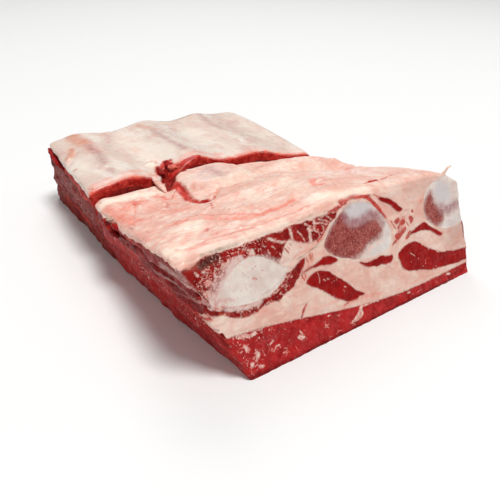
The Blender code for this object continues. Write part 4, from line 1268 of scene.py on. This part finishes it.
def make_wet():
    """The uneven wetness of fresh meat, as roughness, and the low lumps of its surface, as height."""
    nodes, source, sink = new_group("wet surface", [
        ("Dry", "Float", 0.55), ("Wet", "Float", 0.25), ("Lump Scale", "Float", 450.0),
    ], [("Roughness", "Float"), ("Height", "Float")])
    pools = nodes.band(nodes.noise(6.0, 3.0, 0.6), 0.35, 0.65)
    inputs = {"Value": pools, "To Min": source["Wet"], "To Max": source["Dry"]}
    nodes.feed(sink["Roughness"], nodes.add("MapRange", inputs).outputs[0])
    nodes.feed(sink["Height"], nodes.noise(source["Lump Scale"], 2.0, 0.5, 0.4))
    return nodes.tree


DRAWN_EDGE, THREADS, GRAIN, TINTS, WET = make_drawn_edge(), make_threads(), make_grain(), make_tints(), make_wet()


def finish(name, coat, coat_roughness, subsurface, depth, specular):
    """A new material and its shader, with what is the same all over set on the shader itself."""
    material = bpy.data.materials.new(name)
    material.use_nodes = True
    nodes = Nodes(material.node_tree)
    shader = material.node_tree.nodes["Principled BSDF"]
    for socket, value in (
        ("Coat Weight", coat), ("Coat Roughness", coat_roughness), ("Subsurface Weight", subsurface),
        ("Subsurface Scale", depth), ("Subsurface Radius", (1.0, 0.45, 0.3)), ("Specular IOR Level", specular),
    ):
        shader.inputs[socket].default_value = value
    return material, nodes, shader


def surface(nodes, shader, colour, wet, height, strength, distance, dry_film=False):
    """Joins the colour, the wetness and the relief to the shader. dry_film takes the coat off under the film."""
    nodes.feed(shader.inputs["Base Color"], colour)
    if dry_film:
        bare = nodes.band(nodes.mask("film"), 0.3, 0.7, shader.inputs["Coat Weight"].default_value, 0.0)
        nodes.feed(shader.inputs["Coat Weight"], bare)
    nodes.feed(shader.inputs["Roughness"], wet.outputs["Roughness"])
    bump = nodes.add("Bump", {"Height": height, "Strength": strength, "Distance": distance})
    nodes.feed(shader.inputs["Normal"], bump.outputs["Normal"])


def meat_finish(name, shades, threads, pale, thread_colour, gloss=0.12):
    """Lean meat: streaky red, pale threads, then the drawn pale marks and the tints.

    threads is their scale, width and cover; pale is the drawn marks' strength, fray and softness.
    """
    material, nodes, shader = finish(name, gloss, 0.1, 0.06, 0.001, 0.25 * gloss)
    dark, middle, light = shades
    grain = nodes.group(GRAIN, {"Scale": 420.0})
    patches = nodes.noise(8.0, 4.0, 0.6, 0.5)
    colour = nodes.mix(nodes.band(patches, 0.34, 0.66), dark, middle)
    colour = nodes.mix(nodes.times(grain.outputs["Grain"], 0.5), colour, light)
    colour = nodes.mix(nodes.band(grain.outputs["Crumb"], 0.64, 0.76, 0.0, 0.5), colour, thread_colour)
    scale, width, cover = threads
    net = nodes.group(THREADS, {"Scale": scale, "Width": width, "Cover": cover, "Stretch": (1.0, 0.35, 1.0)})
    colour = nodes.mix(nodes.times(net.outputs["Mask"], 0.85), colour, thread_colour)
    strength, fray, softness = pale
    drawn = nodes.drawn("pale_edge", softness, fray, 900.0)
    pale_colour = nodes.mix(nodes.band(nodes.noise(1.8, 4.0, 0.65), 0.38, 0.62), tone(220, 140, 128),
                            tone(248, 220, 206))
    colour = nodes.mix(nodes.times(drawn, strength), colour, pale_colour)
    colour = nodes.tinted(colour)
    wet = nodes.group(WET, {"Dry": 0.46, "Wet": 0.2, "Lump Scale": 520.0})
    height = nodes.plus(wet.outputs["Height"], nodes.times(grain.outputs["Crumb"], 0.5))
    height = nodes.plus(height, nodes.times(drawn, 0.25))
    surface(nodes, shader, colour, wet, height, 0.8, 0.0008)
    return material


def fat_finish():
    """Hard white fat: cream to pink, in small lobes and streaks, with the red that is drawn into it."""
    material, nodes, shader = finish("fat", 0.26, 0.16, 0.18, 0.0025, 0.04)
    broad = nodes.noise(14.0, 4.0, 0.6, 0.6)
    colour = nodes.mix(nodes.band(broad, 0.34, 0.66), tone(236, 182, 166), tone(245, 217, 202))
    streaks = nodes.noise(4.5, 5.0, 0.65, 1.0, stretch=(0.35, 1.0, 1.0))
    wild = nodes.band(nodes.mask("sawn"), 0.0, 1.0, 1.0, 0.35)
    salmon = nodes.times(nodes.band(streaks, 0.52, 0.68, 0.0, 0.56), wild)
    colour = nodes.mix(salmon, colour, tone(235, 150, 130))
    colour = nodes.mix(nodes.band(streaks, 0.46, 0.32, 0.0, 0.55), colour, tone(253, 230, 210))
    lobes = nodes.add("TexVoronoi", {"Vector": nodes.place(), "Scale": 360.0, "Smoothness": 0.4}, feature="SMOOTH_F1")
    between = nodes.times(nodes.band(lobes.outputs["Distance"], 0.4, 0.85, 0.0, 0.4), wild)
    colour = nodes.mix(between, colour, tone(226, 160, 138))
    crumb = nodes.times(nodes.band(nodes.noise(1.3, 4.0, 0.7), 0.58, 0.74, 0.0, 0.35), wild)
    colour = nodes.mix(crumb, colour, tone(255, 240, 224))
    net = nodes.group(THREADS, {"Scale": 150.0, "Width": 0.045, "Cover": 0.46, "Stretch": (0.5, 1.0, 1.0)})
    strength = nodes.times(nodes.times(net.outputs["Mask"], 0.5), wild)
    colour = nodes.mix(strength, colour, tone(222, 112, 92))
    # Painted shade: darkens the sawn fat, most on the right of the face.
    colour = nodes.mix(nodes.mask("face_shade"), colour, tone(176, 140, 130))
    vein = nodes.drawn("vein_edge", 0.8, 1.8, 500.0)
    colour = nodes.mix(nodes.times(vein, 0.6), colour, tone(226, 104, 86))
    red = nodes.drawn("red_edge", 0.4, 1.3, 800.0)
    red_colour = nodes.mix(nodes.band(nodes.noise(1.8, 4.0, 0.65), 0.38, 0.62), tone(150, 28, 28), tone(212, 78, 68))
    colour = nodes.mix(nodes.times(red, 0.9), colour, red_colour)
    colour = nodes.tinted(colour)
    wet = nodes.group(WET, {"Dry": 0.48, "Wet": 0.26, "Lump Scale": 260.0})
    wrinkle = nodes.noise(2.6, 2.0, 0.5, 0.6, stretch=(0.4, 1.0, 1.0))
    height = nodes.plus(wet.outputs["Height"], nodes.times(wrinkle, 0.8))
    surface(nodes, shader, colour, wet, height, 0.7, 0.001, dry_film=True)
    return material


def membrane_finish():
    """The smooth inner skin over the back strip: cool cream, slightly see-through, with a soft sheen."""
    material, nodes, shader = finish("membrane", 0.34, 0.22, 0.18, 0.003, 0.05)
    broad = nodes.noise(24.0, 3.0, 0.5, 0.5, stretch=(1.0, 0.45, 1.0))
    colour = nodes.mix(nodes.band(broad, 0.34, 0.62), tone(224, 198, 184), tone(238, 224, 211))
    stains = nodes.noise(10.0, 3.0, 0.5, 0.6, stretch=(1.0, 0.6, 1.0))
    colour = nodes.mix(nodes.band(stains, 0.5, 0.72, 0.0, 0.5), colour, tone(212, 160, 148))
    # Pale patches, partly clear skin and partly painted highlight.
    clear = nodes.noise(6.0, 2.0, 0.5, 0.4, stretch=(1.0, 0.5, 1.0))
    colour = nodes.mix(nodes.band(clear, 0.54, 0.7, 0.0, 0.35), colour, tone(250, 240, 230))
    colour = nodes.tinted(colour, 0.1)
    wet = nodes.group(WET, {"Dry": 0.4, "Wet": 0.26, "Lump Scale": 110.0})
    surface(nodes, shader, colour, wet, wet.outputs["Height"], 0.35, 0.0008, dry_film=True)
    return material


def bone_finish():
    """Sawn rib: grey-white gristle round red marrow, with milky cartilage and a painted highlight over it."""
    material, nodes, shader = finish("sawn bone", 0.3, 0.14, 0.1, 0.002, 0.15)
    broad = nodes.noise(8.0, 4.0, 0.6)
    colour = nodes.mix(nodes.band(broad, 0.35, 0.65), tone(224, 202, 192), tone(238, 226, 216))
    colour = nodes.mix(nodes.band(nodes.noise(2.4, 5.0, 0.65), 0.56, 0.74, 0.0, 0.5), colour, tone(208, 158, 150))
    marrow = nodes.drawn("marrow_edge", 2.2, 4.4, 420.0)
    sponge = nodes.noise(1.05, 3.0, 0.6, 0.8)
    inner = nodes.mix(nodes.band(nodes.noise(4.0, 4.0, 0.6), 0.36, 0.64), tone(146, 52, 48), tone(170, 84, 76))
    inner = nodes.mix(nodes.band(sponge, 0.54, 0.64, 0.0, 0.45), inner, tone(220, 156, 140))
    inner = nodes.mix(nodes.band(sponge, 0.46, 0.37, 0.0, 0.6), inner, tone(96, 28, 30))
    colour = nodes.mix(marrow, colour, inner)
    # Milky cartilage, with a painted highlight where this mask is strongest.
    milk_and_highlight = nodes.mask("milk_and_highlight")
    cloud = nodes.math("SUBTRACT", nodes.noise(2.6, 5.0, 0.65, 0.6, stretch=(1.0, 1.0, 0.5)), 0.5)
    milk_veil_and_highlight = nodes.band(nodes.plus(milk_and_highlight, nodes.times(milk_and_highlight, cloud)), 0.1, 0.95, 0.0, 0.92)
    colour = nodes.mix(milk_veil_and_highlight, colour, tone(210, 202, 203))
    red = nodes.drawn("red_edge", 0.4, 1.6, 800.0)
    colour = nodes.mix(nodes.times(red, 0.6), colour, tone(196, 84, 80))
    colour = nodes.tinted(colour)
    wet = nodes.group(WET, {"Dry": 0.46, "Wet": 0.24, "Lump Scale": 300.0})
    pores = nodes.times(nodes.times(sponge, marrow), 1.4)
    surface(nodes, shader, colour, wet, nodes.plus(wet.outputs["Height"], pores), 0.6, 0.0006)
    return material


MATERIALS = {
    "fat": fat_finish(),
    "membrane": membrane_finish(),
    "bone": bone_finish(),
    "lean": meat_finish(
        "lean", (tone(138, 12, 14), tone(180, 30, 32), tone(206, 66, 64)), (210.0, 0.05, 0.4), (0.9, 1.0, 0.24),
        tone(240, 172, 160)),
    "muscle": meat_finish(
        "round muscle", (tone(130, 8, 10), tone(158, 18, 18), tone(178, 40, 36)), (120.0, 0.02, 0.3),
        (0.75, 0.7, 0.26), tone(220, 118, 106)),
    "marbled": meat_finish(
        "marbled meat", (tone(98, 8, 10), tone(148, 18, 18), tone(178, 46, 40)), (430.0, 0.045, 0.43),
        (0.8, 2.2, 0.4), tone(218, 140, 126)),
    "dark lean": meat_finish(
        "dark lean", (tone(104, 14, 14), tone(142, 36, 32), tone(166, 70, 60)), (200.0, 0.03, 0.34), (0.6, 0.9, 0.3),
        tone(190, 112, 102), 0.04),
}


def front_strip():
    """The front strip's pieces, cut from one block by the same lofts as the plain solids."""
    ends = (front_face, cut_front)
    across, along = steps(SLAB_WIDTH, FRONT_GRID), steps(FRONT_LENGTH, FRONT_GRID)
    whole = block((across, along, steps(44, 1.1)), ends, front_lean_top, front_top)
    groups = (
        (FRONT_RIBS, "bone", "sawn_bone", 0.85, -0.1), (FRONT_MUSCLES, "muscle", "lean", 0.35, 0.15),
        (RIB_WRAP, "marbled", "marbled_meat", 0.0, 0.1),
    )
    earlier = []
    for pieces, finish_name, slot, calm, proud in groups:
        lofts = []
        for name, (outline, drift, shrink, fray) in pieces.items():
            shell = with_caps_turned(loft(front_sections(outline, drift, shrink, fray), ends, FRONT_SHARES))
            cuts = [("INTERSECT", whole)] + [("DIFFERENCE", other) for other in earlier]
            finished_piece(name, *carved(name, shell, cuts), "front", finish_name, slot, calm, proud)
            lofts.append(shell)
        earlier += lofts
    fat = carved("front_fat", whole, [("DIFFERENCE", other) for other in earlier])
    finished_piece("front_fat", *fat, "front", "fat", "fat", 0.5)
    lean = block((across, along, steps(16, 1.2)), ends, flat_floor, front_lean_top)
    finished_piece("front_lean", *lean, "front", "lean", "lean", 0.2)


def cut_band(places, masks, near, depth):
    """At the saw cut the back strip shows dark meat up to its top edge, which is pink just behind it."""
    fray = 0.4 * rough(places, 3.0, 81, 3)
    deep = ease(-0.2, 1.5, depth["top"] + fray)
    face = 1 - ease(0.3, 1.5, depth["front"] + 0.5 * fray)
    rim = (1 - ease(0.0, 5.0, depth["front"] + 2 * fray)) * near["top"]
    return {
        "film": np.maximum(masks["film"], face * deep), "blush": np.maximum(masks["blush"], 0.85 * rim),
        "blood": np.maximum(masks["blood"], 0.6 * face),
    }


def back_strip():
    """The back strip's layers, and its ribs in their flesh."""
    ends = (cut_back, back_face)
    across, along = steps(BACK_WIDTH, BACK_GRID), steps(BACK_LENGTH, BACK_GRID)
    layers = {
        "back_lean": (flat_floor, back_lean_top, 9, "dark lean", "dark_lean"),
        "back_seam_fat": (back_lean_top, back_seam_top, 5, "fat", "fat"),
        "back_flesh": (back_seam_top, back_flesh_top, 14, "dark lean", "dark_lean"),
        "back_cover": (back_flesh_top, back_top, 5, "membrane", "membrane"),
    }
    blocks = {
        name: block((across, along, np.linspace(0, 1, levels)), ends, floor, roof)
        for name, (floor, roof, levels, _, _) in layers.items()
    }
    lofts = []
    for side, (line, _, (half_width, half_depth)) in BACK_RIBS.items():
        name = f"back_rib_{side}"
        shell = with_caps_turned(loft(rib_sections(line, half_width, half_depth), ends, BACK_SHARES))
        lofts.append(shell)

        def marrow(places, masks, near, depth, line=line, half_width=half_width, half_depth=half_depth):
            share = np.clip((places[:, 1] - CUT_Y) / (BACK_Y - CUT_Y), 0.0, 1.0)
            x_mid, z_mid, tilt = rib_middle(line, half_depth, share)
            off_x, off_z = places[:, 0] - x_mid, places[:, 2] - z_mid - tilt * (places[:, 0] - x_mid)
            reach = np.hypot(off_x / half_width, off_z / half_depth)
            sawn = 1 - ease(0.5, 2.0, depth["front"])
            smear = sawn * ease(-0.5, 0.5, places[:, 2] - z_mid + rough(places, 4.0, 91, 2))
            return {"marrow_edge": (reach - 0.72) * half_depth, "film": smear}

        rib = carved(name, shell, [("INTERSECT", blocks["back_flesh"])])
        finished_piece(name, *rib, "back", "bone", "sawn_bone", 0.8, extra=marrow)
    for name, (_, _, _, finish_name, slot) in layers.items():
        skin = blocks[name]
        if name == "back_flesh":
            skin = carved(name, skin, [("DIFFERENCE", other) for other in lofts])
        extra = cut_band if name in ("back_cover", "back_flesh") else None
        finished_piece(name, *skin, "back", finish_name, slot, 0.3, extra=extra)


NO_MARKS = {edge: FAR_MARK for edge in DRAWN}
# A strand has this many points round it, and this many steps from one point of its path to the next.
STRAND_POINTS = 16
STRAND_STEPS = 8


def swept(name, path, radii, flat, material, seed, fray):
    """A soft strand along a path, its width at each point, flattened and lumpy, closed at both ends."""
    path = np.asarray(path, float)
    spans = np.linspace(0, len(path) - 1, STRAND_STEPS * (len(path) - 1) + 1)
    index = np.minimum(spans.astype(int), len(path) - 2)
    part = (spans - index)[:, None]
    line = curve_point(*(path[np.clip(index + k, 0, len(path) - 1)] for k in (-1, 0, 1, 2)), part)
    width = np.interp(spans, np.arange(len(radii)), radii)
    width = width * np.sqrt(np.clip(1 - (2 * spans / spans[-1] - 1) ** 8, 0.02, 1))
    way = np.gradient(line, axis=0)
    way /= np.linalg.norm(way, axis=1)[:, None]
    side = np.cross(way, [0.0, 0.0, 1.0])
    side /= np.maximum(np.linalg.norm(side, axis=1), 1e-6)[:, None]
    over = np.cross(side, way)
    here = np.arange(STRAND_POINTS)
    turn = here * (2 * math.pi / STRAND_POINTS)
    rings = line[:, None] + width[:, None, None] * (
        np.cos(turn)[None, :, None] * side[:, None] + flat * np.sin(turn)[None, :, None] * over[:, None]
    )
    points = rings.reshape(-1, 3)
    points = points + fray * np.stack([rough(points, 2.4, seed + k, 2) for k in range(3)], 1)
    count = len(spans)
    after_turn = np.roll(here, -1)
    faces = []
    for ring in range(count - 1):
        a, b = here + ring * STRAND_POINTS, after_turn + ring * STRAND_POINTS
        faces += [np.stack([a, b, b + STRAND_POINTS], 1), np.stack([a, b + STRAND_POINTS, a + STRAND_POINTS], 1)]
    points = np.concatenate([points, [line[0] - way[0] * 0.1, line[-1] + way[-1] * 0.1]])
    first, last = len(points) - 2, len(points) - 1
    start = (count - 1) * STRAND_POINTS
    faces += [np.stack([after_turn, here, np.full(STRAND_POINTS, first)], 1),
              np.stack([here + start, after_turn + start, np.full(STRAND_POINTS, last)], 1)]
    made_piece(name, points, np.concatenate(faces), NO_MARKS, material)


def torn_bit(name, centre, radii, material, seed, tints=(), pull=0.34):
    """A small lump of torn meat or fat, like a ball pulled out of shape."""
    ball = bmesh.new()
    bmesh.ops.create_icosphere(ball, subdivisions=4, radius=1.0)
    points = np.array([v.co for v in ball.verts])
    triangles = np.array([[v.index for v in f.verts] for f in ball.faces])
    ball.free()
    swell = 1 + pull * rough(points * 10, 7.0, seed, 4)
    points = np.array(centre) + points * swell[:, None] * np.array(radii)
    made_piece(name, points, triangles, {**NO_MARKS, **dict(tints)}, material)


def on_top(x, y, above):
    """The point this far above the slab's top."""
    height = front_top if y < CUT_Y else back_top
    return (x, y, float(height(np.float64(x), np.float64(y))) + above)


def loose_bits():
    """Strands, tags and torn lumps that lie on the slab."""
    swept("torn_strand", [on_top(-44.8, 30, 1.2), (-45.8, 25, 41.4), on_top(-46.9, 19, 1.5), on_top(-47.8, 13, 1.3),
                          on_top(-49, 7, 0.2)],
          [1.1, 1.7, 1.9, 1.7, 0.8], 0.55, "fat", 101, 0.15)
    swept("thin_strand", [on_top(-44, 5.5, 0.3), on_top(-47.2, 2, 0.8), on_top(-50, -1, 0.7),
                          on_top(-53.4, -5.1, 0.0)],
          [0.4, 0.7, 0.8, 0.4], 0.7, "fat", 111, 0.15)
    swept("corner_tag", [(70, -84.4, 50.6), (71, -84.9, 52.8), (71.9, -85.4, 54.8), (73, -85.8, 56.2),
                         (75, -86.1, 56.8)],
          [2.2, 1.4, 0.9, 0.7, 0.6], 0.5, "fat", 121, 0.12)
    torn_bit("torn_lump", (-28.6, 40.4, 43), (2.6, 4.2, 2.2), "lean", 131)
    torn_bit("torn_pink", (-28.6, 35, 42.4), (2.7, 2.6, 1.9), "lean", 133, [("blush", 0.9)])
    torn_bit("torn_edge", (-35.6, 38.4, 40.6), (1.7, 5.4, 1.9), "marbled", 137)
    torn_bit("torn_shred", (-24.6, 32, 43), (3.2, 1.6, 1.2), "lean", 139, [("blush", 0.5)])
    swept("edge_flap", [(-74.6, 86, 33.6), (-75, 97, 34.2), (-74.7, 107, 35.4), (-74.2, 115, 37), (-73.4, 122, 38.6),
                        (-72.8, 126, 39.4)],
          [0.8, 1.6, 1.9, 1.9, 1.6, 0.8], 0.5, "muscle", 141, 0.4)
    swept("side_scrap", [(-86, 6.5, 35.4), (-86.8, 2, 34.6), (-87.2, -4, 33.6), (-87.2, -11, 32)],
          [1.6, 2.7, 2.4, 1.1], 0.8, "marbled", 151, 0.8)
    torn_bit("side_curl", (-86.9, -1.4, 38.9), (1.5, 2.6, 0.9), "fat", 161, [("ash_and_shade", 0.8)], 0.6)
    torn_bit("side_shred", (-87.4, -9, 37), (1.3, 3.6, 1.4), "lean", 163, (), 0.6)


front_strip()
back_strip()
loose_bits()


# The photo's camera, as its perspective was solved: its place in the plan, the way it looks along
# the floor, how far it looks down, and its focal length as a share of the picture's width.
CAMERA_PLACE = (-187.75, -257.13, 164.0)
CAMERA_HEADING = (0.597, 0.802, 0)
CAMERA_PITCH = math.radians(28.4)
FOCAL_SHARE = 574 / 500
SENSOR = 36
# The lights: place and size in metres, then power in watts. They point at LIT_SPOT.
LIGHTS = {
    "key light": ((0.2, -0.75, 2.9), 1.0, 66.0),
    "fill light": ((-2.4, -0.6, 1.6), 1.6, 6.0),
    "back light": ((0.9, 2.0, 2.2), 1.4, 22.0),
}
LIT_SPOT = (0, -0.03, 0.02)
FLOOR_REACH = 6.0


def lights_and_camera():
    """The studio round the slab: a pale floor, three soft lights and the photo's camera."""
    scene = bpy.context.scene
    world = bpy.data.worlds.new("studio")
    scene.world = world
    world.use_nodes = True
    background = world.node_tree.nodes["Background"]
    background.inputs["Color"].default_value = (1.0, 1.0, 1.0, 1.0)
    background.inputs["Strength"].default_value = 0.26
    floor_mesh = bpy.data.meshes.new("floor")
    corners = [(FLOOR_REACH * x, FLOOR_REACH * y, 0) for x, y in ((-1, -1), (1, -1), (1, 1), (-1, 1))]
    floor_mesh.from_pydata(corners, [], [(0, 1, 2, 3)])
    floor = bpy.data.objects.new("floor", floor_mesh)
    scene.collection.objects.link(floor)
    pale = bpy.data.materials.new("pale floor")
    pale.use_nodes = True
    shader = pale.node_tree.nodes["Principled BSDF"]
    shader.inputs["Base Color"].default_value = (0.9, 0.9, 0.89, 1.0)
    shader.inputs["Roughness"].default_value = 0.8
    floor_mesh.materials.append(pale)
    for name, (place, size, power) in LIGHTS.items():
        lamp = bpy.data.lights.new(name, "AREA")
        lamp.size, lamp.energy = size, power
        holder = bpy.data.objects.new(name, lamp)
        holder.location = place
        holder.rotation_euler = (Vector(LIT_SPOT) - Vector(place)).to_track_quat("-Z", "Y").to_euler()
        scene.collection.objects.link(holder)
    lens = bpy.data.cameras.new("camera")
    lens.sensor_width = SENSOR
    lens.lens = FOCAL_SHARE * SENSOR
    lens.clip_start = 0.01
    camera = bpy.data.objects.new("camera", lens)
    scene.collection.objects.link(camera)
    ahead = Vector(CAMERA_HEADING).normalized()
    forward = ahead * math.cos(CAMERA_PITCH) - Vector((0, 0, 1)) * math.sin(CAMERA_PITCH)
    right = Vector((ahead.y, -ahead.x, 0))
    up = right.cross(forward)
    turn = Matrix((right, up, -forward)).transposed().to_4x4()
    place = (np.array(CAMERA_PLACE) - PLAN_CENTRE) * MM
    camera.matrix_world = Matrix.Translation(Vector(place)) @ turn
    scene.camera = camera
    scene.view_settings.view_transform = "Standard"


lights_and_camera()
